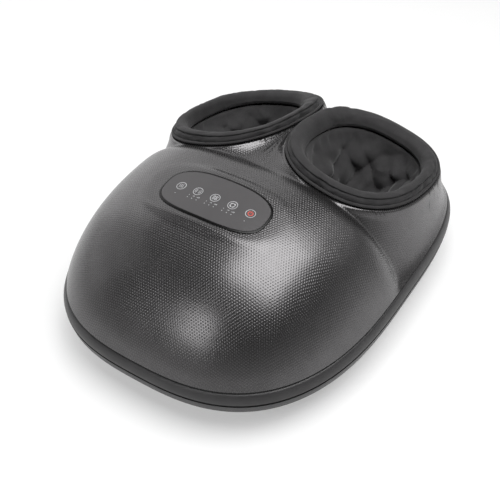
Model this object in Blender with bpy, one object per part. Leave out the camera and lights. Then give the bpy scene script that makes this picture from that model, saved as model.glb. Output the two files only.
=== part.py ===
"""Shiatsu foot massager, built as its separate pieces.

Metres, +Z up. The origin is on the floor under the middle of the machine. The plane x = 0 is the
symmetry plane, the domed toe end points to -Y and both foot openings are at +Y. The user sits at +Y
and looks along -Y, so the user's left foot is on the +X side.
"""

import math

import bmesh
import bpy
from mathutils import Vector
from mathutils.geometry import delaunay_2d_cdt

# Clearances that every piece shares
SEAT_GAP = 0.0003
CUT_OVERRUN = 0.002
MERGE_DISTANCE = 0.000001

# Plan outline of the machine, measured at the lower trim line
BODY_HALF_WIDTH = 0.180
TOE_REACH = 0.231
HEEL_REACH = 0.233
TOE_POWER = 2.73
HEEL_POWER = 3.59
TAPER_SHARE = 0.016
WIDEST_Y = (TOE_REACH - HEEL_REACH) / 2
TOE_END_Y = WIDEST_Y - TOE_REACH
HEEL_END_Y = WIDEST_Y + HEEL_REACH
OUTLINE_STEPS = 48

# Trim band between the two casings
LOWER_LINE_Z = 0.045
BAND_HEIGHT = 0.0135
BAND_LEAN = 0.005
BAND_THICKNESS = 0.005
BAND_BULGE = 0.0012
BAND_GROOVE = 0.0012
UPPER_LINE_Z = LOWER_LINE_Z + BAND_HEIGHT

# Bottom shell
FOOT_HEIGHT = 0.0065
SHELL_WALL = 0.003
SHELL_LIP_INSET = BAND_LEAN + BAND_THICKNESS + 2 * SEAT_GAP
BASE_MARGIN = 0.034
FLOOR_Z = FOOT_HEIGHT + SHELL_WALL
# Its side from the trim down: the inset, by the margin, and the height, by the depth
SHELL_SIDE_SHARES = ((0.06, 1.0), (0.15, 0.72), (0.44, 0.27), (0.70, 0.08))

# Collar openings: plan ellipse, its plane, and the padded ring on it
COLLAR_INNER_GAP = 0.0015
COLLAR_SIDE_MARGIN = 0.0265
COLLAR_REAR_MARGIN = 0.0337
COLLAR_HALF_WIDTH = (BODY_HALF_WIDTH - COLLAR_SIDE_MARGIN - COLLAR_INNER_GAP) / 2
COLLAR_HALF_LENGTH = 0.1033
COLLAR_X = COLLAR_INNER_GAP + COLLAR_HALF_WIDTH
COLLAR_Y = HEEL_END_Y - COLLAR_REAR_MARGIN - COLLAR_HALF_LENGTH
COLLAR_Z = 0.1362
COLLAR_POWER = 2.39
COLLAR_SIDE_SLOPE_SHARE = 0.261
COLLAR_REAR_SLOPE_SHARE = 0.213
COLLAR_SAG = 0.003
COLLAR_STEPS = 32
MOUTH_SHIFT_X = 0.0012
MOUTH_SHIFT_Y = -0.0047
ROLL_SIDE_WIDTH = 0.0202
ROLL_END_WIDTH = 0.0312
MOUTH_HALF_WIDTH = COLLAR_HALF_WIDTH - ROLL_SIDE_WIDTH
MOUTH_HALF_LENGTH = COLLAR_HALF_LENGTH - ROLL_END_WIDTH
PAD_HEIGHT = 0.0135
PAD_TUCK = 0.006
# Section of the padded roll: how far across towards the mouth, and how high or low
PAD_CROWN_SHARES = ((0.02, 0.50), (0.12, 0.82), (0.32, 1.0), (0.64, 0.98), (0.88, 0.72), (1.0, 0.25))
PAD_TUCK_SHARES = ((0.95, 0.60),)
PAD_HOLE_ROOM_SHARE = 0.12
PIPING_RADIUS = 0.0016
PIPING_WIDTH_SHARE = 1.6
COVER_HOLE_SHARE = 0.45

# Top cover
COVER_WALL = 0.0025
COVER_ROOF = 0.003
CREST_AHEAD = 0.125
CREST_Y = COLLAR_Y - CREST_AHEAD
DOME_RISE = 0.108
DOME_SIDE_POWER = 3.5
DOME_TOE_POWER = 2.7
DOME_WALL_POWER = 1.3
SKIRT_SLOPE_SHARE = 0.42
SKIRT_SPAN = 0.170
SKIRT_BLEND = 0.004
NECK_BLEND = 0.008
NECK_POWER = 1.3
NECK_SPAN = 0.090
CREASE_BLEND = 0.016
CREASE_FULL_SHARE = 1.3
CREST_FALL_RADIUS = 0.042
DOME_SEARCH_SHARES = (0.001, 1.6)
DOME_SEARCH_STEPS = 24
COLLAR_LIP_SHARE = 1.05
COLLAR_SEAT_SHARE = 0.89
PANEL_FLAT_SHARES = (1.12, 1.45)
PANEL_WALL_SHARE = 1.4
TRIM_EDGE_SHARE = 0.02
# Grid of loose plan points, and rings of them round each outline: how far out, and the room, by the grid
COVER_GRID = 0.024
GRID_ROOM_SHARE = 0.55
GRID_ROW_SHARE = 0.87
COLLAR_RING_SHARES = ((1.05, 0.14), (1.13, 0.28))
PANEL_RING_SHARES = ((1.09, 0.10), (1.27, 0.25), (1.48, 0.40))
TRIM_RING_SHARES = ((0.975, 0.15), (0.94, 0.25), (0.89, 0.30), (0.82, 0.40))

# Control panel
PANEL_AHEAD = 0.052
PANEL_Y = CREST_Y - PANEL_AHEAD
PANEL_Z = 0.1668
PANEL_HALF_LENGTH = 0.063
PANEL_HALF_DEPTH = 0.030
PANEL_TILT_SHARE = 0.121
PANEL_SAG = 0.0045
PANEL_POWER = 2.94
PANEL_STEPS = 24
BEZEL_WIDTH = 0.0022
BEZEL_PROUD = 0.0012
BEZEL_DEPTH = 0.0045
BEZEL_WALL = 0.001
BEZEL_LEDGE = 0.0022
LENS_THICKNESS = 0.0018
BOARD_THICKNESS = 0.0016
PLATE_RING_SHARES = (0.15, 0.6, 1.0)

# Drive: one double-ended motor between the feet, two worms, four worm wheels
FOOT_X = COLLAR_X
DRIVE_AHEAD = 0.115
DRIVE_Y = COLLAR_Y - DRIVE_AHEAD
DRIVE_Z = 0.026
WHEEL_TEETH = 20
WHEEL_PITCH_RADIUS = 0.030
WHEEL_WIDTH = 0.008
TOOTH_ADDENDUM = 0.0023
TOOTH_DEDENDUM = 0.0028
TOOTH_BACKLASH = 0.0009
TOOTH_ROOT_SHARE = 1.35
TOOTH_TIP_SHARE = 0.62
WORM_PITCH_RADIUS = 0.008
WORM_LENGTH = 0.024
WORM_STEPS = 12
SHAFT_RADIUS = 0.0032
DRIVE_SPREAD = WHEEL_PITCH_RADIUS + WORM_PITCH_RADIUS
MOTOR_RADIUS = 0.015
MOTOR_HALF_LENGTH = 0.025
MOTOR_WALL = 0.002
ROTOR_RADIUS = 0.0105
ROTOR_HALF_LENGTH = 0.016
CRADLE_LENGTH_SHARE = 0.7
CRADLE_WIDTH_SHARE = 1.1

# Gearboxes
GEARBOX_WALL = 0.0025
GEARBOX_ROOF = 0.0016
GEARBOX_MARGIN = 0.001
GEARBOX_CORNER = 0.012
GEARBOX_TOP_Z = 0.0385
GEARBOX_FOOT_Z = FLOOR_Z + SEAT_GAP
SHAFT_SEAT = 0.0008
BUSH_RADIUS = 0.0062
BUSH_LENGTH = 0.005

# Kneading discs
OUTPUT_RADIUS = 0.005
DISC_RADIUS = 0.033
DISC_Z = 0.0402
DISC_THICKNESS = 0.0045
NODE_RADIUS = 0.0105
NODE_ORBIT = 0.0205
NODE_TOP_Z = 0.062
NODES_PER_DISC = 3
DISC_EDGE_SHARE = 0.97
NODE_TIP_SHARE = 0.12

# Foot beds under the soles
BED_HALF_WIDTH = 0.0435
BED_AHEAD = 0.202
BED_BEHIND = 0.065
BED_TOE_Y = COLLAR_Y - BED_AHEAD
BED_HEEL_Y = COLLAR_Y + BED_BEHIND
BED_CORNER = 0.022
BED_Z = 0.0462
BED_THICKNESS = 0.0025
BED_HOLE_RADIUS = 0.036
BED_POST_RADIUS = 0.004
BED_POST_X = 0.027
BED_POST_MARGIN = 0.009
FILM_THICKNESS = 0.0008
FILM_HALF_WIDTH = 0.034
FILM_HALF_LENGTH = 0.042
FILM_BEHIND = 0.011
FILM_Y = COLLAR_Y + FILM_BEHIND

# Foot liners
LINER_CLOTH = 0.0014
LINER_STEPS = 22
SOLE_Z = NODE_TOP_Z + 2 * SEAT_GAP
LINER_FOLDS = 5
LINER_FOLD_SHARE = 0.03
LINER_TOE_MARGIN = 0.082
LINER_TOE_Y = TOE_END_Y + LINER_TOE_MARGIN
LINER_TOE_Z = 0.098
# Rings of a liner from the mouth to the toes. Each gives the way along the instep line, the drop of the
# instep line, the way along the sole, the height of the sole line, the half width, how much of the
# collar's side slope it keeps, and the depth of its folds.
LINER_SHARES = (
    (0.00, 0.00, 0.00, 1.00, 1.02, 1.0, 0.0),
    (0.01, 0.10, 0.01, 0.72, 0.96, 0.9, 0.3),
    (0.04, 0.21, 0.02, 0.34, 0.94, 0.6, 0.9),
    (0.12, 0.31, 0.09, 0.06, 0.90, 0.3, 1.0),
    (0.27, 0.41, 0.29, 0.00, 0.87, 0.1, 0.8),
    (0.46, 0.52, 0.50, 0.00, 0.86, 0.0, 0.6),
    (0.66, 0.66, 0.69, 0.00, 0.84, 0.0, 0.4),
    (0.86, 0.84, 0.87, 0.00, 0.75, 0.0, 0.2),
    (0.97, 1.02, 0.97, 0.08, 0.52, 0.0, 0.0),
)

# Instep airbags and their pads
INSTEP_AHEAD = 0.175
INSTEP_INSIDE = 0.0045
INSTEP_Y = COLLAR_Y - INSTEP_AHEAD
INSTEP_X = FOOT_X - INSTEP_INSIDE
INSTEP_HALF_WIDTH = 0.025
INSTEP_HALF_LENGTH = 0.033
INSTEP_POWER = 3.2
INSTEP_STEPS = 12
AIRBAG_THICKNESS = 0.008
AIRBAG_GAP = 0.0014
PAD_THICKNESS = 0.005
# Rings of a pillow from its lower to its upper face: how far out, and how far down
INSTEP_RING_SHARES = ((0.55, 1.0), (0.92, 1.0), (1.0, 0.5), (0.92, 0.0), (0.55, 0.0))

# Vibration motors under the heels
BUZZER_BEHIND = 0.017
BUZZER_Y = COLLAR_Y + BUZZER_BEHIND
BUZZER_Z = 0.022
BUZZER_RADIUS = 0.009
BUZZER_LENGTH = 0.024
BUZZER_SHAFT_RADIUS = 0.0015
WEIGHT_RADIUS = 0.0078
WEIGHT_THICKNESS = 0.006
WEIGHT_STEPS = 8
WEIGHT_HUB_ANGLES = (30, 90, 150)
BUZZER_FOOT_SHARE = 0.8

# Air pump, valve and hoses, in the middle of the toe end
PUMP_TOE_MARGIN = 0.124
PUMP_Y = TOE_END_Y + PUMP_TOE_MARGIN
PUMP_HALF_WIDTH = 0.020
PUMP_HALF_LENGTH = 0.024
PUMP_HEIGHT = 0.026
PUMP_CORNER = 0.006
PUMP_HEAD_RADIUS = 0.015
PUMP_HEAD_HEIGHT = 0.012
PUMP_SHOULDER_SHARE = 0.7
VALVE_AHEAD = 0.050
VALVE_Y = PUMP_Y - VALVE_AHEAD
VALVE_HALF_WIDTH = 0.014
VALVE_HALF_LENGTH = 0.012
VALVE_HEIGHT = 0.018
NOZZLE_RADIUS = 0.0028
NOZZLE_HEIGHT = 0.006
NOZZLE_X = 0.007
HOSE_RADIUS = 0.0028
HOSE_STEPS = 6
HOSE_BEND_SHARE = 0.32
HOSE_PULL_SHARE = 0.6
HOSE_END_SHARE = 0.9

# Electronics
MAIN_BOARD_BEHIND = 0.005
MAIN_BOARD_Y = COLLAR_Y + MAIN_BOARD_BEHIND
MAIN_BOARD_HALF_WIDTH = 0.024
MAIN_BOARD_HALF_LENGTH = 0.036
# Parts on the main board: place, half size by the board, and height by the board's thickness
CHIP_SHARES = {
    "relay": (-0.45, 0.45, 0.30, 0.22, 7.0),
    "driver": (0.40, 0.35, 0.28, 0.18, 2.5),
    "controller": (0.0, -0.15, 0.34, 0.20, 1.2),
    "connector": (0.30, -0.72, 0.40, 0.10, 4.4),
}
STANDOFF_HEIGHT = 0.006
STANDOFF_RADIUS = 0.003
STANDOFF_MARGIN = 0.005
INLET_Z = 0.030
INLET_WALL_SHARE = 0.53
INLET_HALF_WIDTH = 0.008
INLET_HEIGHT = 0.014
INLET_LENGTH = 0.014
INLET_NOSE_RADIUS = 0.0052
INLET_BORE_RADIUS = 0.0032
INLET_BORE_DEPTH = 0.012

# Casing screws and their posts
POST_RADIUS = 0.0055
POST_JOINT_Z = 0.050
SCREW_HEAD_RADIUS = 0.0033
SCREW_HEAD_HEIGHT = 0.0025
SCREW_SHANK_RADIUS = 0.0014
SCREW_LENGTH = 0.014
SCREW_SEAT = 0.004
POST_BORE_RADIUS = 0.0018
POST_ROOT_SHARE = 0.6
SCREW_EDGE_SHARE = 0.8
POST_TOE_INSET = 0.085
POST_TOE_MARGIN = 0.067
POST_HEEL_X = 0.014
POST_HEEL_MARGIN = 0.052

# Rubber feet
RUBBER_FOOT_RADIUS = 0.012
RUBBER_FOOT_TOP_RADIUS = 0.0135
RUBBER_PLUG_RADIUS = 0.003
RUBBER_FOOT_TOE_INSET = 0.075
RUBBER_FOOT_TOE_MARGIN = 0.102
RUBBER_FOOT_HEEL_INSET = 0.064
RUBBER_FOOT_HEEL_MARGIN = 0.094


def clear_scene():
    for old in list(bpy.data.objects):
        bpy.data.objects.remove(old)


def four_places(toe_x, toe_margin, heel_x, heel_margin):
    """Two places at each end of the machine, by name. The margins run from its toe and heel ends."""
    places = {}
    for side, word in ((1, "left"), (-1, "right")):
        places[f"toe_{word}"] = (side * toe_x, TOE_END_Y + toe_margin)
        places[f"heel_{word}"] = (side * heel_x, HEEL_END_Y - heel_margin)
    return places


def make_material(name, colour, roughness, metallic=0.0):
    material = bpy.data.materials.new(name)
    material.use_nodes = True
    shader = material.node_tree.nodes["Principled BSDF"]
    shader.inputs["Base Color"].default_value = (*colour, 1.0)
    shader.inputs["Roughness"].default_value = roughness
    shader.inputs["Metallic"].default_value = metallic
    material.diffuse_color = (*colour, 1.0)
    return material


def make_solid(name, bm, material, origin=(0.0, 0.0, 0.0)):
    """Turn a bmesh in world coordinates into a named object whose origin is the given point."""
    bmesh.ops.remove_doubles(bm, verts=bm.verts, dist=MERGE_DISTANCE)
    bmesh.ops.recalc_face_normals(bm, faces=bm.faces)
    bmesh.ops.translate(bm, verts=bm.verts, vec=-Vector(origin))
    mesh = bpy.data.meshes.new(name)
    bm.to_mesh(mesh)
    bm.free()
    mesh.shade_smooth()
    mesh.set_sharp_from_angle(angle=math.radians(35))
    mesh.materials.append(material)
    solid = bpy.data.objects.new(name, mesh)
    bpy.context.scene.collection.objects.link(solid)
    solid.location = origin
    return solid


def add_rings(bm, rings, wrap=False):
    """Skin a list of point rings, each closed, and fan the two ends unless the last joins the first."""
    loops = [[bm.verts.new(point) for point in ring] for ring in rings]
    pairs = list(zip(loops, loops[1:]))
    if wrap:
        pairs.append((loops[-1], loops[0]))
    for lower, upper in pairs:
        count = len(lower)
        for i in range(count):
            j = (i + 1) % count
            bm.faces.new((lower[i], lower[j], upper[j], upper[i]))
    if not wrap:
        for loop in (loops[0], loops[-1]):
            fan_fill(bm, loop)
    return loops


def fan_fill(bm, loop):
    """Close a ring with triangles to its middle point."""
    middle = bm.verts.new(sum((vert.co for vert in loop), Vector()) / len(loop))
    count = len(loop)
    for i in range(count):
        bm.faces.new((loop[i], loop[(i + 1) % count], middle))


def ring_solid(name, rings, material, wrap=False, origin=(0.0, 0.0, 0.0)):
    bm = bmesh.new()
    add_rings(bm, rings, wrap)
    return make_solid(name, bm, material, origin)


def turned_rings(profile, centre, axis, steps):
    """Rings of a turned shape. The profile lists (along the axis, radius) from one end to the other."""
    turn = Vector(axis).to_track_quat("Z", "Y").to_matrix()
    rings = []
    for along, radius in profile:
        ring = []
        for i in range(steps):
            angle = 2 * math.pi * i / steps
            local = Vector((radius * math.cos(angle), radius * math.sin(angle), along))
            ring.append(Vector(centre) + turn @ local)
        rings.append(ring)
    return rings


def tube_rings(points, radius, steps):
    """Rings of a round bar that follows a row of points."""
    rings = []
    for i, point in enumerate(points):
        ahead = points[min(i + 1, len(points) - 1)] - points[max(i - 1, 0)]
        ahead.normalize()
        across = ahead.cross(Vector((0, 1, 0))).normalized()
        up = across.cross(ahead)
        ring = []
        for step in range(steps):
            angle = 2 * math.pi * step / steps
            ring.append(point + radius * (across * math.cos(angle) + up * math.sin(angle)))
        rings.append(ring)
    return rings


def turned_solid(name, profile, centre, axis, steps, material, hollow=False):
    rings = turned_rings(profile, centre, axis, steps)
    return ring_solid(name, rings, material, wrap=hollow, origin=centre)


def rounded_rectangle(half_x, half_y, corner, steps=3):
    points = []
    for quarter, (sx, sy) in enumerate(((1, 1), (-1, 1), (-1, -1), (1, -1))):
        for i in range(steps + 1):
            angle = math.pi / 2 * (quarter + i / steps)
            x = sx * (half_x - corner) + corner * math.cos(angle)
            y = sy * (half_y - corner) + corner * math.sin(angle)
            points.append((x, y))
    return points


def prism_rings(plan, centre_x, centre_y, low_z, high_z):
    return [[Vector((centre_x + x, centre_y + y, z)) for x, y in plan] for z in (low_z, high_z)]


def prism_solid(name, plan, centre_x, centre_y, low_z, high_z, material):
    rings = prism_rings(plan, centre_x, centre_y, low_z, high_z)
    return ring_solid(name, rings, material, origin=(centre_x, centre_y, low_z))


def as_cutter(tool):
    tool.hide_render = True
    tool.display_type = "WIRE"
    return tool


def combine(target, tool, operation):
    """Cut the tool away from the target, or join it on, with an exact Boolean."""
    modifier = target.modifiers.new(tool.name, "BOOLEAN")
    modifier.operation = operation
    modifier.solver = "EXACT"
    modifier.object = as_cutter(tool)


def signed_power(value, power):
    return math.copysign(abs(value) ** power, value)


def superellipse(half_x, half_y, power, steps):
    points = []
    for i in range(steps):
        angle = 2 * math.pi * i / steps
        x = half_x * signed_power(math.cos(angle), 2 / power)
        y = half_y * signed_power(math.sin(angle), 2 / power)
        points.append((x, y))
    return points


def outline_point(angle, inset):
    """A point of the plan outline, moved in by the inset."""
    toe_side = math.sin(angle) < 0
    reach = (TOE_REACH if toe_side else HEEL_REACH) - inset
    power = TOE_POWER if toe_side else HEEL_POWER
    along = reach * signed_power(math.sin(angle), 2 / power)
    taper = 1 - TAPER_SHARE * along / HEEL_REACH
    across = (BODY_HALF_WIDTH - inset) * taper * signed_power(math.cos(angle), 2 / power)
    return across, WIDEST_Y + along


def outline_ring(inset, z, steps=OUTLINE_STEPS):
    ring = []
    for i in range(steps):
        x, y = outline_point(2 * math.pi * i / steps, inset)
        ring.append(Vector((x, y, z)))
    return ring


def outline_share(x, y):
    """0 at the middle of the plan and 1 on the upper trim line."""
    along = y - WIDEST_Y
    reach = (TOE_REACH if along < 0 else HEEL_REACH) - BAND_LEAN
    power = TOE_POWER if along < 0 else HEEL_POWER
    across = abs(x) / ((BODY_HALF_WIDTH - BAND_LEAN) * (1 - TAPER_SHARE * along / HEEL_REACH))
    return (across**power + abs(along / reach) ** power) ** (1 / power)


def dome_share(x, y):
    """How far a point lies from the crest's middle towards the upper trim line, from 0 to 1."""
    low, high = DOME_SEARCH_SHARES
    for _ in range(DOME_SEARCH_STEPS):
        middle = (low + high) / 2
        if outline_share(x / middle, CREST_Y + (y - CREST_Y) / middle) > 1:
            low = middle
        else:
            high = middle
    return (low + high) / 2


def smooth_max(a, b, blend):
    return (a + b + math.hypot(a - b, blend)) / 2


def smooth_step(low, high, value):
    share = min(max((value - low) / (high - low), 0.0), 1.0)
    return share * share * (3 - 2 * share)


def collar_share(x, y):
    """1 on the outline of the collar that is nearest, less inside it."""
    across = abs((abs(x) - COLLAR_X) / COLLAR_HALF_WIDTH)
    along = abs((y - COLLAR_Y) / COLLAR_HALF_LENGTH)
    return (across**COLLAR_POWER + along**COLLAR_POWER) ** (1 / COLLAR_POWER)


def collar_plane(x, y):
    """Height of the seat that a collar lies on: it falls outwards and towards the heel."""
    across = abs(x) - COLLAR_X
    sag = COLLAR_SAG * (across / COLLAR_HALF_WIDTH) ** 2
    return COLLAR_Z - COLLAR_SIDE_SLOPE_SHARE * across - COLLAR_REAR_SLOPE_SHARE * (y - COLLAR_Y) + sag


def panel_share(x, y):
    across = abs(x / PANEL_HALF_LENGTH)
    along = abs((y - PANEL_Y) / PANEL_HALF_DEPTH)
    return (across**PANEL_POWER + along**PANEL_POWER) ** (1 / PANEL_POWER)


def panel_plane(x, y):
    return PANEL_Z + PANEL_TILT_SHARE * (y - PANEL_Y) - PANEL_SAG * (x / PANEL_HALF_LENGTH) ** 2


def cover_height(x, y):
    """Outer surface of the top cover: a dome over the toes, a flared skirt and a neck to the collars."""
    toe_y = min(y, CREST_Y)
    share = dome_share(x, toe_y)
    bearing = math.atan2(abs(toe_y - CREST_Y), abs(x) + MERGE_DISTANCE)
    power = DOME_SIDE_POWER + (DOME_TOE_POWER - DOME_SIDE_POWER) * math.sin(bearing) ** 2
    behind = max(y - CREST_Y, 0.0)
    dome = DOME_RISE * max(1 - share**power, 0.0) ** (1 / DOME_WALL_POWER)
    dome -= behind * behind / (2 * CREST_FALL_RADIUS)
    to_trim = max(1 - outline_share(x, y), 0.0) * SKIRT_SPAN
    rise = smooth_max(dome, SKIRT_SLOPE_SHARE * to_trim, SKIRT_BLEND)
    blend = CREASE_BLEND * smooth_step(1.0, CREASE_FULL_SHARE, collar_share(x, y))
    near_x = math.hypot(x, blend)
    to_collar = max(collar_share(near_x, y) - 1, 0.0) * NECK_SPAN
    fall = to_collar / (to_collar + to_trim + MERGE_DISTANCE)
    neck = (collar_plane(near_x, y) - UPPER_LINE_Z) * (1 - fall) ** NECK_POWER
    height = UPPER_LINE_Z + smooth_max(rise, neck, NECK_BLEND)
    lip = smooth_step(1.0, COLLAR_LIP_SHARE, collar_share(x, y))
    height = collar_plane(x, y) + lip * (height - collar_plane(x, y))
    flat = 1 - smooth_step(*PANEL_FLAT_SHARES, panel_share(x, y))
    return height + flat * (panel_plane(x, y) - BEZEL_PROUD - height)


def cover_inner_height(x, y):
    """Inner surface of the top cover over a point."""
    share = dome_share(x, y)
    reach = math.hypot(x, y - CREST_Y) / share
    grow = 1 / (1 - COVER_WALL / reach)
    return cover_height(x * grow, CREST_Y + (y - CREST_Y) * grow) - COVER_ROOF


def cover_floor_over(x, y, radius):
    """The lowest inner height of the cover over a round post."""
    turns = [math.pi / 4 * i for i in range(8)]
    rim = [(x + radius * math.cos(turn), y + radius * math.sin(turn)) for turn in turns]
    return min(cover_inner_height(*point) for point in rim)


def collar_point(angle, towards_mouth, side):
    """Plan point on a collar: 0 is its outline, 1 its mouth. The side is 1 at +X and -1 at -X."""
    c = signed_power(math.cos(angle), 2 / COLLAR_POWER)
    s = signed_power(math.sin(angle), 2 / COLLAR_POWER)
    outer = Vector((COLLAR_X + COLLAR_HALF_WIDTH * c, COLLAR_Y + COLLAR_HALF_LENGTH * s))
    mouth_x = COLLAR_X + MOUTH_SHIFT_X + MOUTH_HALF_WIDTH * c
    mouth_y = COLLAR_Y + MOUTH_SHIFT_Y + MOUTH_HALF_LENGTH * s
    point = outer.lerp(Vector((mouth_x, mouth_y)), towards_mouth)
    return side * point.x, point.y


def collar_ring(towards_mouth, above, side):
    ring = []
    for i in range(COLLAR_STEPS):
        x, y = collar_point(side * 2 * math.pi * i / COLLAR_STEPS, towards_mouth, side)
        ring.append(Vector((x, y, collar_plane(x, y) + above)))
    return ring


def scaled_loop(plan, centre_x, centre_y, grow, room):
    """A plan loop made larger or smaller, each point with the room that it needs."""
    points = [(centre_x + (x - centre_x) * grow, centre_y + (y - centre_y) * grow) for x, y in plan]
    return [(point, COVER_GRID * room) for point in points]


def cover_plan():
    """Plan points of the cover: closed loops that must stay whole, then loose points between them."""
    trim = [outline_point(2 * math.pi * i / OUTLINE_STEPS, BAND_LEAN) for i in range(OUTLINE_STEPS)]
    hole_inset = BEZEL_WIDTH - BEZEL_WALL - SEAT_GAP
    half_length = PANEL_HALF_LENGTH - hole_inset
    half_depth = PANEL_HALF_DEPTH - hole_inset
    panel = superellipse(half_length, half_depth, PANEL_POWER, PANEL_STEPS)
    holes = [[(x, PANEL_Y + y) for x, y in panel]]
    lips = []
    loose = []
    turns = [2 * math.pi * i / COLLAR_STEPS for i in range(COLLAR_STEPS)]
    for grow, room in PANEL_RING_SHARES:
        loose += scaled_loop(holes[0], 0.0, PANEL_Y, grow, room)
    for side in (1, -1):
        holes.append([collar_point(turn, COVER_HOLE_SHARE, side) for turn in turns])
        lips.append([collar_point(turn, 0.0, side) for turn in turns])
        for grow, room in COLLAR_RING_SHARES:
            loose += scaled_loop(lips[-1], side * COLLAR_X, COLLAR_Y, grow, room)
    for grow, room in TRIM_RING_SHARES:
        loose += scaled_loop(trim, 0.0, CREST_Y, grow, room)
    columns = int(BODY_HALF_WIDTH / COVER_GRID) + 1
    rows = int(HEEL_REACH / COVER_GRID / GRID_ROW_SHARE) + 1
    for row in range(-rows, rows + 1):
        for column in range(-columns, columns + 1):
            x = (column + (row % 2) / 2) * COVER_GRID
            loose.append(((x, CREST_Y + row * COVER_GRID * GRID_ROW_SHARE), COVER_GRID * GRID_ROOM_SHARE))
    return trim, holes, lips, loose


def is_free(point, kept, room):
    return all(math.hypot(point[0] - x, point[1] - y) > room for x, y in kept)


def in_loop(point, loop):
    """True inside a loop that has no dents."""
    signs = set()
    for (ax, ay), (bx, by) in zip(loop, loop[1:] + loop[:1]):
        signs.add((bx - ax) * (point[1] - ay) - (by - ay) * (point[0] - ax) > 0)
    return len(signs) == 1


def cover_pair(x, y):
    """The outer and the inner point of the cover for one plan point."""
    share = dome_share(x, y)
    on_trim = share > 1 - TRIM_EDGE_SHARE / 20
    high = UPPER_LINE_Z + BAND_GROOVE if on_trim else cover_height(x, y)
    wall = COVER_WALL * share / math.hypot(x, y - CREST_Y)
    wall *= smooth_step(COLLAR_SEAT_SHARE, 1.0, collar_share(x, y))
    wall *= smooth_step(1.0, PANEL_WALL_SHARE, panel_share(x, y))
    low = high - COVER_ROOF * smooth_step(0.0, TRIM_EDGE_SHARE, 1 - share)
    return (x, y, high), (x - x * wall, y - (y - CREST_Y) * wall, low)


def make_cover_plate(material):
    """Triangulate the plan, lift it to both faces of the cover and close the rims."""
    trim, holes, lips, loose = cover_plan()
    loops = [trim, *holes, *lips]
    kept = [point for loop in loops for point in loop]
    for point, room in loose:
        if in_loop(point, trim) and is_free(point, kept, room):
            if not any(in_loop(point, hole) for hole in holes):
                kept.append(point)
    edges = []
    hole_of = {}
    first = 0
    for number, loop in enumerate(loops):
        for i in range(len(loop)):
            edges.append((first + i, first + (i + 1) % len(loop)))
            if 0 < number <= len(holes):
                hole_of[first + i] = number
        first += len(loop)
    plan = [Vector(point) for point in kept]
    result = delaunay_2d_cdt(plan, edges, [], 0, MERGE_DISTANCE / 10)
    points, triangles = result[0], result[2]
    bm = bmesh.new()
    outer, inner = [], []
    for point in points:
        top, bottom = cover_pair(point.x, point.y)
        outer.append(bm.verts.new(top))
        inner.append(bm.verts.new(bottom))
    rims = set()
    for triangle in triangles:
        numbers = {hole_of.get(i, -1 - i) for i in triangle}
        if len(numbers) == 1:
            continue
        bm.faces.new([outer[i] for i in triangle])
        bm.faces.new([inner[i] for i in reversed(triangle)])
        for i, j in zip(triangle, (*triangle[1:], triangle[0])):
            rims.symmetric_difference_update({(min(i, j), max(i, j))})
    for i, j in rims:
        bm.faces.new((outer[i], outer[j], inner[j], inner[i]))
    return make_solid("top_cover", bm, material)


def make_top_cover(material, post_places):
    cover = make_cover_plate(material)
    for place, (x, y) in post_places.items():
        top = cover_floor_over(x, y, POST_RADIUS) + COVER_ROOF * POST_ROOT_SHARE
        profile = [(POST_JOINT_Z + SEAT_GAP, POST_RADIUS), (top, POST_RADIUS)]
        post = turned_solid(f"cover_post_{place}", profile, (x, y, 0), (0, 0, 1), 8, material)
        combine(cover, post, "UNION")
        bore_top = POST_JOINT_Z + SCREW_LENGTH
        profile = [(POST_JOINT_Z - CUT_OVERRUN, POST_BORE_RADIUS), (bore_top, POST_BORE_RADIUS)]
        bore = turned_solid(f"cover_bore_{place}", profile, (x, y, 0), (0, 0, 1), 6, material)
        combine(cover, bore, "DIFFERENCE")
    return cover


def make_trim_band(material):
    """Soft band that hides the joint of the two casings."""
    low = LOWER_LINE_Z
    high = UPPER_LINE_Z
    middle = (low + high) / 2
    back = SHELL_LIP_INSET - SEAT_GAP
    rings = [
        outline_ring(0.0, low + SEAT_GAP),
        outline_ring(BAND_LEAN / 2 - BAND_BULGE, middle),
        outline_ring(BAND_LEAN, high),
        outline_ring(back, high),
        outline_ring(back, low + SEAT_GAP),
    ]
    return ring_solid("trim_band", rings, material, wrap=True)


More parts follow.
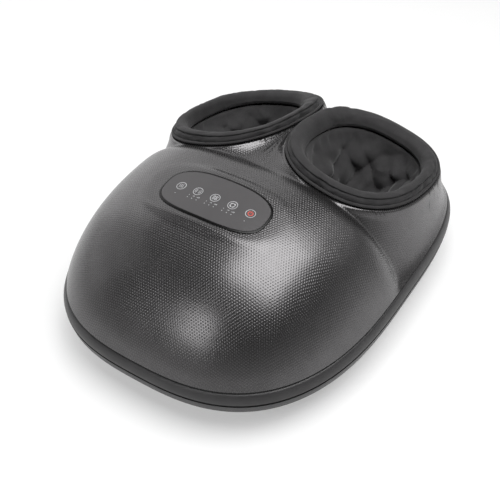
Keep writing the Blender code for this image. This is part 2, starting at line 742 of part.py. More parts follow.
def make_bottom_shell(material, post_places, foot_places):
    lip = SHELL_LIP_INSET
    wall = SHELL_WALL
    shelf_z = LOWER_LINE_Z
    rim_z = UPPER_LINE_Z + BAND_GROOVE - SEAT_GAP
    side_depth = shelf_z - BAND_GROOVE - FOOT_HEIGHT
    inset = BASE_MARGIN
    rings = [outline_ring(lip, rim_z), outline_ring(lip, shelf_z)]
    for across, up in SHELL_SIDE_SHARES:
        rings.append(outline_ring(inset * across, FOOT_HEIGHT + side_depth * up))
    rings += [outline_ring(inset, FOOT_HEIGHT), outline_ring(inset, FLOOR_Z)]
    for across, up in reversed(SHELL_SIDE_SHARES[1:]):
        rings.append(outline_ring(inset * across + wall, FLOOR_Z + (side_depth - wall) * up))
    rings += [outline_ring(lip + wall, shelf_z), outline_ring(lip + wall, rim_z)]
    bm = bmesh.new()
    loops = add_rings(bm, rings, wrap=True)
    split = 2 + len(SHELL_SIDE_SHARES)
    base_edge, floor_edge = loops[split], loops[split + 1]
    walls = [face for face in bm.faces if all(v in base_edge or v in floor_edge for v in face.verts)]
    bmesh.ops.delete(bm, geom=walls, context="FACES_ONLY")
    fan_fill(bm, base_edge)
    fan_fill(bm, floor_edge)
    shell = make_solid("bottom_shell", bm, material)
    for place, (x, y) in post_places.items():
        add_screw_post(shell, place, x, y, material)
    for place, (x, y) in foot_places.items():
        profile = [(-CUT_OVERRUN, RUBBER_PLUG_RADIUS), (FLOOR_Z + CUT_OVERRUN, RUBBER_PLUG_RADIUS)]
        hole = turned_solid(f"foot_hole_{place}", profile, (x, y, 0), (0, 0, 1), 8, material)
        combine(shell, hole, "DIFFERENCE")
    for sx in (1, -1):
        for sy in (1, -1):
            x = sx * (MAIN_BOARD_HALF_WIDTH - STANDOFF_MARGIN)
            y = MAIN_BOARD_Y + sy * (MAIN_BOARD_HALF_LENGTH - STANDOFF_MARGIN)
            top = FLOOR_Z + STANDOFF_HEIGHT
            profile = [(FLOOR_Z - wall / 2, STANDOFF_RADIUS), (top, STANDOFF_RADIUS)]
            name = f"standoff_{sx + 1}_{sy + 1}"
            combine(shell, turned_solid(name, profile, (x, y, 0), (0, 0, 1), 6, material), "UNION")
    add_bed_posts(shell, material)
    radius = INLET_NOSE_RADIUS + SEAT_GAP
    profile = [(HEEL_END_Y - BASE_MARGIN, radius), (HEEL_END_Y + CUT_OVERRUN, radius)]
    hole = turned_solid("inlet_hole", profile, (0, 0, INLET_Z), (0, 1, 0), 12, material)
    combine(shell, hole, "DIFFERENCE")
    return shell


def add_bed_posts(shell, material):
    """Posts that carry the corners of both foot beds."""
    for side in (1, -1):
        for offset in (BED_POST_X, -BED_POST_X):
            for end, y in (("toe", BED_TOE_Y + BED_POST_MARGIN), ("heel", BED_HEEL_Y - BED_POST_MARGIN)):
                x = side * FOOT_X + offset
                profile = [(FLOOR_Z - SHELL_WALL / 2, BED_POST_RADIUS), (BED_Z - SEAT_GAP, BED_POST_RADIUS)]
                name = f"bed_post_{end}_{round(x * 1000)}"
                post = turned_solid(name, profile, (x, y, 0), (0, 0, 1), 6, material)
                combine(shell, post, "UNION")


def add_screw_post(shell, place, x, y, material):
    """A hollow post: the screw goes up its counterbore and seats under its top."""
    up = (0, 0, 1)
    profile = [(FLOOR_Z - SHELL_WALL / 2, POST_RADIUS), (POST_JOINT_Z, POST_RADIUS)]
    combine(shell, turned_solid(f"shell_post_{place}", profile, (x, y, 0), up, 8, material), "UNION")
    head = SCREW_HEAD_RADIUS + SEAT_GAP * 2
    profile = [(0.0, head), (POST_JOINT_Z - SCREW_SEAT, head)]
    combine(shell, turned_solid(f"head_bore_{place}", profile, (x, y, 0), up, 8, material), "DIFFERENCE")
    profile = [
        (POST_JOINT_Z - SCREW_SEAT - CUT_OVERRUN, POST_BORE_RADIUS),
        (POST_JOINT_Z + CUT_OVERRUN, POST_BORE_RADIUS),
    ]
    combine(shell, turned_solid(f"shank_bore_{place}", profile, (x, y, 0), up, 6, material), "DIFFERENCE")


def make_screw(place, x, y, material):
    top = POST_JOINT_Z - SCREW_SEAT - SEAT_GAP
    profile = [
        (top - SCREW_HEAD_HEIGHT, SCREW_HEAD_RADIUS * SCREW_EDGE_SHARE),
        (top - SCREW_HEAD_HEIGHT / 2, SCREW_HEAD_RADIUS),
        (top, SCREW_HEAD_RADIUS),
        (top, SCREW_SHANK_RADIUS),
        (top + SCREW_LENGTH, SCREW_SHANK_RADIUS),
    ]
    return turned_solid(f"housing_screw_{place}", profile, (x, y, 0), (0, 0, 1), 6, material)


def make_rubber_foot(place, x, y, material):
    plug = RUBBER_PLUG_RADIUS - SEAT_GAP
    profile = [
        (0.0, RUBBER_FOOT_RADIUS),
        (FOOT_HEIGHT - SEAT_GAP, RUBBER_FOOT_TOP_RADIUS),
        (FOOT_HEIGHT - SEAT_GAP, plug),
        (FLOOR_Z - SEAT_GAP, plug),
    ]
    return turned_solid(f"rubber_foot_{place}", profile, (x, y, 0), (0, 0, 1), 10, material)


def panel_ring(inset, above, scale=1.0):
    plan = superellipse(PANEL_HALF_LENGTH - inset, PANEL_HALF_DEPTH - inset, PANEL_POWER, PANEL_STEPS)
    spots = [(x * scale, PANEL_Y + y * scale) for x, y in plan]
    return [Vector((x, y, panel_plane(x, y) + above)) for x, y in spots]


def make_panel_bezel(material):
    """Gasket frame: a flange on the cover, a sleeve through its hole and a ledge for the lens."""
    sleeve = BEZEL_WIDTH - BEZEL_WALL
    inside = BEZEL_WIDTH + BEZEL_LEDGE
    under = SEAT_GAP * 2 - BEZEL_PROUD
    rings = [
        panel_ring(0.0, under),
        panel_ring(BEZEL_WIDTH / 3, 0.0),
        panel_ring(BEZEL_WIDTH, 0.0),
        panel_ring(BEZEL_WIDTH, -LENS_THICKNESS),
        panel_ring(inside, -LENS_THICKNESS),
        panel_ring(inside, -BEZEL_DEPTH),
        panel_ring(sleeve, -BEZEL_DEPTH),
        panel_ring(sleeve, under),
    ]
    return ring_solid("panel_bezel", rings, material, wrap=True)


def make_panel_plate(name, inset, top, thickness, material):
    """A plate that is curved like the panel."""
    rings = [panel_ring(inset, top - thickness, scale) for scale in PLATE_RING_SHARES]
    rings += [panel_ring(inset, top, scale) for scale in reversed(PLATE_RING_SHARES)]
    return ring_solid(name, rings, material)


def make_collar_pad(word, side, material):
    """Padded roll round a foot opening, sewn on the cover's edge and tucked into its hole."""
    edge = (2 * PIPING_RADIUS + SEAT_GAP) / (COLLAR_HALF_WIDTH - MOUTH_HALF_WIDTH)
    seat = SEAT_GAP * 3
    inner = COVER_HOLE_SHARE + PAD_HOLE_ROOM_SHARE
    rings = [collar_ring(edge, seat, side)]
    for across, up in PAD_CROWN_SHARES:
        rings.append(collar_ring(edge + across * (1 - edge), PAD_HEIGHT * up, side))
    for across, down in PAD_TUCK_SHARES:
        rings.append(collar_ring(across, -PAD_TUCK * down, side))
    rings += [collar_ring(inner, -PAD_TUCK, side), collar_ring(inner, seat, side)]
    return ring_solid(f"collar_pad_{word}", rings, material, wrap=True)


def make_collar_piping(word, side, material):
    share = PIPING_RADIUS / (COLLAR_HALF_WIDTH - MOUTH_HALF_WIDTH)
    low = SEAT_GAP * 3
    high = low + 2 * PIPING_RADIUS
    middle = (low + high) / 2
    inner = share * PIPING_WIDTH_SHARE
    section = [(0.0, middle), (inner, high), (inner, low)]
    rings = [collar_ring(towards, above, side) for towards, above in section]
    return ring_solid(f"collar_piping_{word}", rings, material, wrap=True)


def liner_ring(number, thinner, side):
    """One ring of the cloth bag, with soft folds that run down from the mouth."""
    ahead, drop, back, lift, width, slope, depth = LINER_SHARES[number]
    mouth_y = COLLAR_Y + MOUTH_SHIFT_Y
    top_y = mouth_y - MOUTH_HALF_LENGTH * LINER_SHARES[0][4]
    heel_y = mouth_y + MOUTH_HALF_LENGTH * LINER_SHARES[0][4]
    under = -PAD_TUCK - SEAT_GAP * 3
    top_z = collar_plane(COLLAR_X, top_y) + under
    heel_z = collar_plane(COLLAR_X, heel_y) + under
    front = Vector((top_y + (LINER_TOE_Y - top_y) * ahead, top_z + (LINER_TOE_Z - top_z) * drop))
    heel = Vector((heel_y + (LINER_TOE_Y - heel_y) * back, SOLE_Z + (heel_z - SOLE_Z) * lift))
    middle = (front + heel) / 2
    reach = (heel - front) / 2
    ring = []
    for i in range(LINER_STEPS):
        angle = 2 * math.pi * i / LINER_STEPS
        fold = depth * LINER_FOLD_SHARE * (1 + math.sin(LINER_FOLDS * angle + number))
        across = MOUTH_HALF_WIDTH * (width - fold) - thinner
        x = COLLAR_X + MOUTH_SHIFT_X + across * signed_power(math.cos(angle), 2 / COLLAR_POWER)
        along = signed_power(math.sin(angle), 2 / COLLAR_POWER) * (1 - thinner / reach.length)
        y, z = middle + reach * along
        z += slope * (collar_plane(x, y) - collar_plane(COLLAR_X, y))
        ring.append(Vector((side * x, y, z)))
    return ring


def make_foot_liner(word, side, material):
    outer = [liner_ring(number, 0.0, side) for number in range(len(LINER_SHARES))]
    inner = [liner_ring(number, LINER_CLOTH, side) for number in range(len(LINER_SHARES))]
    for point in inner[-1]:
        point.y += LINER_CLOTH
    bm = bmesh.new()
    outer_loops = [[bm.verts.new(point) for point in ring] for ring in outer]
    inner_loops = [[bm.verts.new(point) for point in ring] for ring in inner]
    strips = list(zip(outer_loops, outer_loops[1:])) + list(zip(inner_loops, inner_loops[1:]))
    strips.append((outer_loops[0], inner_loops[0]))
    for first, second in strips:
        for i in range(LINER_STEPS):
            j = (i + 1) % LINER_STEPS
            bm.faces.new((first[i], first[j], second[j], second[i]))
    fan_fill(bm, outer_loops[-1])
    fan_fill(bm, inner_loops[-1])
    return make_solid(f"foot_liner_{word}", bm, material)


def make_foot_bed(word, side, material, disc_places):
    """Plate under the sole, with a round hole over each kneading disc."""
    x = side * FOOT_X
    half_length = (BED_HEEL_Y - BED_TOE_Y) / 2
    middle_y = (BED_HEEL_Y + BED_TOE_Y) / 2
    plan = rounded_rectangle(BED_HALF_WIDTH, half_length, BED_CORNER)
    bed = prism_solid(f"foot_bed_{word}", plan, x, middle_y, BED_Z, BED_Z + BED_THICKNESS, material)
    low = BED_Z - CUT_OVERRUN
    high = BED_Z + BED_THICKNESS + CUT_OVERRUN
    profile = [(low, BED_HOLE_RADIUS), (high, BED_HOLE_RADIUS)]
    for end, y in disc_places.items():
        hole = turned_solid(f"bed_hole_{end}_{word}", profile, (x, y, 0), (0, 0, 1), 18, material)
        combine(bed, hole, "DIFFERENCE")
    return bed


def make_heater_film(word, side, material):
    plan = rounded_rectangle(FILM_HALF_WIDTH, FILM_HALF_LENGTH, FILM_HALF_WIDTH / 4)
    low = BED_Z + BED_THICKNESS + SEAT_GAP
    high = low + FILM_THICKNESS
    return prism_solid(f"heater_film_{word}", plan, side * FOOT_X, FILM_Y, low, high, material)


def gearbox_plan(grow):
    tip = WHEEL_PITCH_RADIUS + TOOTH_ADDENDUM + GEARBOX_MARGIN
    return rounded_rectangle(tip + grow, DRIVE_SPREAD + tip + grow, GEARBOX_CORNER + grow)


def cut_shaft_channel(target, word, side, material):
    """The round channel, split by the joint, that the bushes of the drive shaft sit in."""
    half = WHEEL_PITCH_RADIUS + TOOTH_ADDENDUM + GEARBOX_MARGIN + GEARBOX_WALL + CUT_OVERRUN
    radius = BUSH_RADIUS + SEAT_GAP
    profile = [(-half, radius), (half, radius)]
    centre = (side * FOOT_X, DRIVE_Y, DRIVE_Z)
    combine(target, turned_solid(f"channel_{word}", profile, centre, (1, 0, 0), 12, material), "DIFFERENCE")


def make_gearbox_lower(word, side, material, disc_places):
    x = side * FOOT_X
    split = DRIVE_Z - SEAT_GAP / 2
    floor = GEARBOX_FOOT_Z + GEARBOX_WALL
    box = prism_solid(
        f"gearbox_lower_{word}", gearbox_plan(GEARBOX_WALL), x, DRIVE_Y, GEARBOX_FOOT_Z, split, material
    )
    inside = prism_solid(
        f"lower_room_{word}", gearbox_plan(0.0), x, DRIVE_Y, floor, split + CUT_OVERRUN, material
    )
    combine(box, inside, "DIFFERENCE")
    boss_top = DRIVE_Z - WHEEL_WIDTH / 2 - SEAT_GAP * 2
    up = (0, 0, 1)
    bore = OUTPUT_RADIUS + SEAT_GAP
    for end, y in disc_places.items():
        profile = [
            (floor - GEARBOX_WALL / 2, OUTPUT_RADIUS * 2),
            (boss_top, OUTPUT_RADIUS * 2),
            (boss_top, bore),
            (floor + SHAFT_SEAT, bore),
        ]
        boss = turned_solid(f"boss_{end}_{word}", profile, (x, y, 0), up, 12, material)
        combine(box, boss, "UNION")
    cut_shaft_channel(box, f"lower_{word}", side, material)
    return box


def make_gearbox_upper(word, side, material, disc_places):
    x = side * FOOT_X
    split = DRIVE_Z + SEAT_GAP / 2
    box = prism_solid(
        f"gearbox_upper_{word}", gearbox_plan(GEARBOX_WALL), x, DRIVE_Y, split, GEARBOX_TOP_Z, material
    )
    ceiling = GEARBOX_TOP_Z - GEARBOX_ROOF
    inside = prism_solid(
        f"upper_room_{word}", gearbox_plan(0.0), x, DRIVE_Y, split - CUT_OVERRUN, ceiling, material
    )
    combine(box, inside, "DIFFERENCE")
    for end, y in disc_places.items():
        radius = OUTPUT_RADIUS + SEAT_GAP
        profile = [(ceiling - CUT_OVERRUN, radius), (GEARBOX_TOP_Z + CUT_OVERRUN, radius)]
        bore = turned_solid(f"roof_bore_{end}_{word}", profile, (x, y, 0), (0, 0, 1), 12, material)
        combine(box, bore, "DIFFERENCE")
    cut_shaft_channel(box, f"upper_{word}", side, material)
    return box


def make_shaft_bush(name, x, material):
    bore = SHAFT_RADIUS + SEAT_GAP
    half = BUSH_LENGTH / 2
    profile = [(-half, bore), (-half, BUSH_RADIUS), (half, BUSH_RADIUS), (half, bore)]
    return turned_solid(name, profile, (x, DRIVE_Y, DRIVE_Z), (1, 0, 0), 8, material, hollow=True)


def make_worm_wheel(end, word, centre, hand, tooth_at, material):
    """Helical wheel. One tooth, or one gap, faces the worm at rest."""
    pitch_angle = 2 * math.pi / WHEEL_TEETH
    thickness = math.pi * WHEEL_PITCH_RADIUS / WHEEL_TEETH - TOOTH_BACKLASH / 2
    half_root = thickness / 2 / WHEEL_PITCH_RADIUS * TOOTH_ROOT_SHARE
    half_tip = thickness / 2 / WHEEL_PITCH_RADIUS * TOOTH_TIP_SHARE
    root = WHEEL_PITCH_RADIUS - TOOTH_DEDENDUM
    tip = WHEEL_PITCH_RADIUS + TOOTH_ADDENDUM
    lead_slope = WHEEL_PITCH_RADIUS * pitch_angle / (2 * math.pi * WORM_PITCH_RADIUS)
    bore = OUTPUT_RADIUS + SEAT_GAP
    bm = bmesh.new()
    rims, bores = [], []
    for z in (-WHEEL_WIDTH / 2, WHEEL_WIDTH / 2):
        twist = hand * z * lead_slope / WHEEL_PITCH_RADIUS
        rim, eye = [], []
        for tooth in range(WHEEL_TEETH):
            middle = tooth_at + tooth * pitch_angle + twist
            for radius, offset in ((root, -half_root), (tip, -half_tip), (tip, half_tip), (root, half_root)):
                angle = middle + offset
                rim.append(bm.verts.new((radius * math.cos(angle), radius * math.sin(angle), z)))
            eye.append(bm.verts.new((bore * math.cos(middle), bore * math.sin(middle), z)))
        rims.append(rim)
        bores.append(eye)
    for lower, upper in (rims, bores):
        count = len(lower)
        for i in range(count):
            j = (i + 1) % count
            bm.faces.new((lower[i], lower[j], upper[j], upper[i]))
    for rim, eye in zip(rims, bores):
        for tooth in range(WHEEL_TEETH):
            following = (tooth + 1) % WHEEL_TEETH
            bm.faces.new((eye[tooth], *rim[4 * tooth : 4 * tooth + 4]))
            bm.faces.new((eye[tooth], rim[4 * tooth + 3], rim[4 * following], eye[following]))
    bmesh.ops.translate(bm, verts=bm.verts, vec=Vector(centre))
    return make_solid(f"worm_wheel_{end}_{word}", bm, material, origin=centre)


def make_worm(word, side, hand, material):
    """Screw with one thread, its crest facing the toe wheel's gap at the middle of its length."""
    lead = 2 * math.pi * WHEEL_PITCH_RADIUS / WHEEL_TEETH
    thread = lead / 2 - TOOTH_BACKLASH / 2
    half_root = thread / 2 * TOOTH_ROOT_SHARE
    half_tip = thread / 2 * TOOTH_TIP_SHARE
    root = WORM_PITCH_RADIUS - TOOTH_DEDENDUM
    tip = WORM_PITCH_RADIUS + TOOTH_ADDENDUM
    marks = [(-half_root, root), (-half_tip, tip), (half_tip, tip), (half_root, root)]
    half = WORM_LENGTH / 2
    turns = int(WORM_LENGTH / lead) + 3
    bore = SHAFT_RADIUS + SEAT_GAP
    bm = bmesh.new()
    columns = []
    for step in range(WORM_STEPS + 1):
        angle = 2 * math.pi * step / WORM_STEPS
        column = []
        for turn in range(-turns, turns + 1):
            for offset, radius in marks:
                along = lead * (turn + hand * (angle - math.pi) / (2 * math.pi)) + offset
                inside = -half < along < half
                r = radius if inside else root
                x = min(max(along, -half), half)
                column.append(bm.verts.new((x, r * math.cos(angle), r * math.sin(angle))))
        columns.append(column)
    for near, far in zip(columns, columns[1:]):
        for i in range(len(near) - 1):
            bm.faces.new((near[i], near[i + 1], far[i + 1], far[i]))
    bmesh.ops.remove_doubles(bm, verts=bm.verts, dist=MERGE_DISTANCE)
    bmesh.ops.dissolve_degenerate(bm, edges=bm.edges, dist=MERGE_DISTANCE)
    for end in (-half, half):
        rim = []
        hole = []
        for step in range(WORM_STEPS):
            angle = 2 * math.pi * step / WORM_STEPS
            spot = Vector((end, root * math.cos(angle), root * math.sin(angle)))
            rim.append(min(bm.verts, key=lambda vert: (vert.co - spot).length))
            hole.append(bm.verts.new((end, bore * math.cos(angle), bore * math.sin(angle))))
        for i in range(WORM_STEPS):
            j = (i + 1) % WORM_STEPS
            bm.faces.new((rim[i], rim[j], hole[j], hole[i]))
    holes = [vert for vert in bm.verts if vert.co.yz.length < (bore + root) / 2]
    near_end = sorted((v for v in holes if v.co.x < 0), key=lambda v: math.atan2(v.co.z, v.co.y))
    far_end = sorted((v for v in holes if v.co.x > 0), key=lambda v: math.atan2(v.co.z, v.co.y))
    for i in range(WORM_STEPS):
        j = (i + 1) % WORM_STEPS
        bm.faces.new((near_end[i], near_end[j], far_end[j], far_end[i]))
    centre = Vector((side * FOOT_X, DRIVE_Y, DRIVE_Z))
    bmesh.ops.translate(bm, verts=bm.verts, vec=centre)
    return make_solid(f"worm_{word}", bm, material, origin=centre)


def make_drive(materials):
    """Motor case, its cradle and the double-ended rotor shaft."""
    centre = (0.0, DRIVE_Y, DRIVE_Z)
    half = MOTOR_HALF_LENGTH
    bore = SHAFT_RADIUS + SEAT_GAP
    room = MOTOR_RADIUS - MOTOR_WALL
    profile = [
        (-half, bore),
        (-half, MOTOR_RADIUS),
        (half, MOTOR_RADIUS),
        (half, bore),
        (half - MOTOR_WALL, bore),
        (half - MOTOR_WALL, room),
        (MOTOR_WALL - half, room),
        (MOTOR_WALL - half, bore),
    ]
    turned_solid("motor_case", profile, centre, (1, 0, 0), 16, materials["steel"], hollow=True)
    reach = FOOT_X + WHEEL_PITCH_RADIUS + TOOTH_ADDENDUM + GEARBOX_MARGIN + BUSH_LENGTH / 2
    profile = [
        (-reach, SHAFT_RADIUS),
        (-ROTOR_HALF_LENGTH, SHAFT_RADIUS),
        (-ROTOR_HALF_LENGTH, ROTOR_RADIUS),
        (ROTOR_HALF_LENGTH, ROTOR_RADIUS),
        (ROTOR_HALF_LENGTH, SHAFT_RADIUS),
        (reach, SHAFT_RADIUS),
    ]
    turned_solid("motor_rotor", profile, centre, (1, 0, 0), 12, materials["steel"])
    cradle_x = MOTOR_HALF_LENGTH * CRADLE_LENGTH_SHARE
    cradle_y = MOTOR_RADIUS * CRADLE_WIDTH_SHARE
    plan = rounded_rectangle(cradle_x, cradle_y, MOTOR_WALL, steps=2)
    low = FLOOR_Z + SEAT_GAP
    cradle = prism_solid("motor_cradle", plan, 0.0, DRIVE_Y, low, DRIVE_Z - MOTOR_WALL, materials["plastic"])
    saddle = MOTOR_RADIUS + SEAT_GAP
    profile = [(-half, saddle), (half, saddle)]
    cutter = turned_solid("saddle", profile, centre, (1, 0, 0), 16, materials["plastic"])
    combine(cradle, cutter, "DIFFERENCE")


def make_kneading_disc(end, word, centre, first_angle, material):
    """Steel-cored shaft, disc and round massage nodes as one moulding."""
    up = (0, 0, 1)
    low = GEARBOX_FOOT_Z + GEARBOX_WALL + SHAFT_SEAT + SEAT_GAP
    profile = [
        (low, OUTPUT_RADIUS),
        (DISC_Z, OUTPUT_RADIUS),
        (DISC_Z, DISC_RADIUS * DISC_EDGE_SHARE),
        (DISC_Z + DISC_THICKNESS / 2, DISC_RADIUS),
        (DISC_Z + DISC_THICKNESS, DISC_RADIUS * DISC_EDGE_SHARE),
    ]
    disc = turned_solid(f"kneading_disc_{end}_{word}", profile, centre, up, 16, material)
    for number in range(NODES_PER_DISC):
        angle = first_angle + 2 * math.pi * number / NODES_PER_DISC
        x = centre[0] + NODE_ORBIT * math.cos(angle)
        y = centre[1] + NODE_ORBIT * math.sin(angle)
        profile = [(DISC_Z + DISC_THICKNESS / 2, NODE_RADIUS)]
        for i in range(3):
            lift = math.pi / 2 * i / 3
            profile.append((NODE_TOP_Z - NODE_RADIUS * (1 - math.sin(lift)), NODE_RADIUS * math.cos(lift)))
        profile.append((NODE_TOP_Z, NODE_RADIUS * NODE_TIP_SHARE))
        node = turned_solid(f"node_{end}_{word}_{number}", profile, (x, y, 0), up, 8, material)
        combine(disc, node, "UNION")
    return disc


def instep_rings(x, low, high):
    """Rings of a thin pillow whose faces follow the inside of the cover."""
    plan = superellipse(INSTEP_HALF_WIDTH, INSTEP_HALF_LENGTH, INSTEP_POWER, INSTEP_STEPS)
    rings = []
    for share, down in INSTEP_RING_SHARES:
        depth = high + (low - high) * down
        ring = []
        for px, py in plan:
            spot_x, spot_y = x + px * share, INSTEP_Y + py * share
            ring.append(Vector((spot_x, spot_y, cover_inner_height(spot_x, spot_y) - depth)))
        rings.append(ring)
    return rings


def make_instep(word, side, materials):
    x = side * INSTEP_X
    bag_low = AIRBAG_GAP + AIRBAG_THICKNESS
    bag = instep_rings(x, bag_low, AIRBAG_GAP)
    ring_solid(f"airbag_{word}", bag, materials["rubber"])
    pad_high = bag_low + AIRBAG_GAP
    pad = instep_rings(x, pad_high + PAD_THICKNESS, pad_high)
    ring_solid(f"instep_pad_{word}", pad, materials["fabric"])


def make_buzzer(word, side, materials):
    """Vibration motor on its foot, and the eccentric weight on its shaft."""
    x = side * FOOT_X
    centre = (x, BUZZER_Y, BUZZER_Z)
    half = BUZZER_LENGTH / 2
    profile = [(-half, BUZZER_RADIUS), (half, BUZZER_RADIUS)]
    case = turned_solid(f"vibration_motor_{word}", profile, centre, (0, 1, 0), 16, materials["steel"])
    plan = rounded_rectangle(BUZZER_RADIUS, half * BUZZER_FOOT_SHARE, BUZZER_RADIUS / 6, steps=1)
    low = FLOOR_Z + SEAT_GAP
    foot = prism_solid(f"buzzer_foot_{word}", plan, x, BUZZER_Y, low, BUZZER_Z, materials["plastic"])
    combine(case, foot, "UNION")
    bore = BUZZER_SHAFT_RADIUS + SEAT_GAP
    profile = [(-half - CUT_OVERRUN, bore), (0.0, bore)]
    hole = turned_solid(f"buzzer_bore_{word}", profile, centre, (0, 1, 0), 10, materials["steel"])
    combine(case, hole, "DIFFERENCE")
    front = -half - SEAT_GAP * 2
    bm = bmesh.new()
    rings = []
    for along in (front - WEIGHT_THICKNESS, front):
        ring = []
        for i in range(WEIGHT_STEPS + 1):
            angle = math.pi + math.pi * i / WEIGHT_STEPS
            ring.append((WEIGHT_RADIUS * math.cos(angle), WEIGHT_RADIUS * math.sin(angle)))
        hub = BUZZER_SHAFT_RADIUS * 2
        for degrees in WEIGHT_HUB_ANGLES:
            angle = math.radians(degrees)
            ring.append((hub * math.cos(angle), hub * math.sin(angle)))
        rings.append([Vector((x + px, BUZZER_Y + along, BUZZER_Z + pz)) for px, pz in ring])
    add_rings(bm, rings)
    weight = make_solid(f"eccentric_weight_{word}", bm, materials["steel"], origin=centre)
    profile = [(front - WEIGHT_THICKNESS / 2, BUZZER_SHAFT_RADIUS), (-half / 2, BUZZER_SHAFT_RADIUS)]
    shaft = turned_solid(f"buzzer_shaft_{word}", profile, centre, (0, 1, 0), 8, materials["steel"])
    combine(weight, shaft, "UNION")


def make_air_supply(materials):
    """Diaphragm pump with its head, the two-way valve and a hose to each airbag."""
    low = FLOOR_Z + SEAT_GAP
    plan = rounded_rectangle(PUMP_HALF_WIDTH, PUMP_HALF_LENGTH, PUMP_CORNER, steps=2)
    prism_solid("pump_body", plan, 0.0, PUMP_Y, low, low + PUMP_HEIGHT, materials["plastic"])
    top = low + PUMP_HEIGHT + SEAT_GAP
    profile = [
        (top, PUMP_HEAD_RADIUS),
        (top + PUMP_HEAD_HEIGHT * PUMP_SHOULDER_SHARE, PUMP_HEAD_RADIUS),
        (top + PUMP_HEAD_HEIGHT, PUMP_HEAD_RADIUS * PUMP_SHOULDER_SHARE),
    ]
    turned_solid("pump_head", profile, (0.0, PUMP_Y, 0.0), (0, 0, 1), 16, materials["plastic"])
    plan = rounded_rectangle(VALVE_HALF_WIDTH, VALVE_HALF_LENGTH, PUMP_CORNER / 2, steps=1)
    valve_top = low + VALVE_HEIGHT
    valve = prism_solid("air_valve", plan, 0.0, VALVE_Y, low, valve_top, materials["plastic"])
    for side, word in ((1, "left"), (-1, "right")):
        x = side * NOZZLE_X
        profile = [(valve_top - CUT_OVERRUN, NOZZLE_RADIUS), (valve_top + NOZZLE_HEIGHT, NOZZLE_RADIUS)]
        nozzle = turned_solid(f"nozzle_{word}", profile, (x, VALVE_Y, 0), (0, 0, 1), 8, materials["plastic"])
        combine(valve, nozzle, "UNION")
        make_hose(word, side, valve_top + NOZZLE_HEIGHT + SEAT_GAP, materials["rubber"])


def hermite(a, b, slope_a, slope_b, share):
    s, s2, s3 = share, share**2, share**3
    ends = (2 * s3 - 3 * s2 + 1) * a + (3 * s2 - 2 * s3) * b
    return ends + (s3 - 2 * s2 + s) * slope_a + (s3 - s2) * slope_b


def make_hose(word, side, start_z, material):
    """Silicone hose from the valve up the gap between the feet and over to the airbag."""
    end_x = INSTEP_X - INSTEP_HALF_WIDTH - SEAT_GAP
    end_z = cover_inner_height(end_x, INSTEP_Y) - AIRBAG_GAP - AIRBAG_THICKNESS / 2
    start = Vector((NOZZLE_X, VALVE_Y, start_z))
    bend = Vector((end_x * HOSE_BEND_SHARE, (VALVE_Y + INSTEP_Y) / 2, (start_z + end_z) / 2))
    end = Vector((end_x, INSTEP_Y, end_z))
    climb = Vector((0.0, 0.0, (end_z - start_z) * HOSE_PULL_SHARE))
    lean = (end - start) * HOSE_PULL_SHARE
    across = Vector((end_x * HOSE_END_SHARE, 0.0, 0.0))
    points = [hermite(start, bend, climb, lean, i / HOSE_STEPS) for i in range(HOSE_STEPS)]
    points += [hermite(bend, end, lean, across, i / HOSE_STEPS) for i in range(HOSE_STEPS + 1)]
    points.insert(1, start + Vector((0.0, 0.0, HOSE_RADIUS)))
    points.insert(-1, end - Vector((HOSE_RADIUS, 0.0, 0.0)))
    points = [Vector((side * point.x, point.y, point.z)) for point in points]
    return ring_solid(f"air_hose_{word}", tube_rings(points, HOSE_RADIUS, HOSE_STEPS), material)


def make_main_board(materials):
    low = FLOOR_Z + STANDOFF_HEIGHT + SEAT_GAP
    top = low + BOARD_THICKNESS
    half_x, half_y = MAIN_BOARD_HALF_WIDTH, MAIN_BOARD_HALF_LENGTH
    plan = rounded_rectangle(half_x, half_y, STANDOFF_RADIUS / 2, steps=1)
    board = prism_solid("main_board", plan, 0.0, MAIN_BOARD_Y, low, top, materials["board"])
    corner = BOARD_THICKNESS / 4
    for name, (x_share, y_share, width_share, length_share, height_share) in CHIP_SHARES.items():
        x, y = half_x * x_share, MAIN_BOARD_Y + half_y * y_share
        plan = rounded_rectangle(half_x * width_share, half_y * length_share, corner, steps=1)
        chip_top = top + BOARD_THICKNESS * height_share
        chip = prism_solid(f"chip_{name}", plan, x, y, top - corner, chip_top, materials["board"])
        combine(board, chip, "UNION")


def make_power_inlet(material):
    """Low-voltage socket: a block behind the heel wall with a round nose through it."""
    wall_y = HEEL_END_Y - BASE_MARGIN * INLET_WALL_SHARE
    low = INLET_Z - INLET_HEIGHT / 2
    plan = rounded_rectangle(INLET_HALF_WIDTH, INLET_LENGTH / 2, BOARD_THICKNESS, steps=1)
    middle = wall_y - INLET_LENGTH / 2
    inlet = prism_solid("power_inlet", plan, 0.0, middle, low, low + INLET_HEIGHT, material)
    nose_end = HEEL_END_Y - BASE_MARGIN * SHELL_SIDE_SHARES[1][0]
    profile = [(middle, INLET_NOSE_RADIUS), (nose_end, INLET_NOSE_RADIUS)]
    nose = turned_solid("inlet_nose", profile, (0, 0, INLET_Z), (0, 1, 0), 16, material)
    combine(inlet, nose, "UNION")
    profile = [(nose_end - INLET_BORE_DEPTH, INLET_BORE_RADIUS), (nose_end + CUT_OVERRUN, INLET_BORE_RADIUS)]
    bore = turned_solid("inlet_bore", profile, (0, 0, INLET_Z), (0, 1, 0), 16, material)
    combine(inlet, bore, "DIFFERENCE")


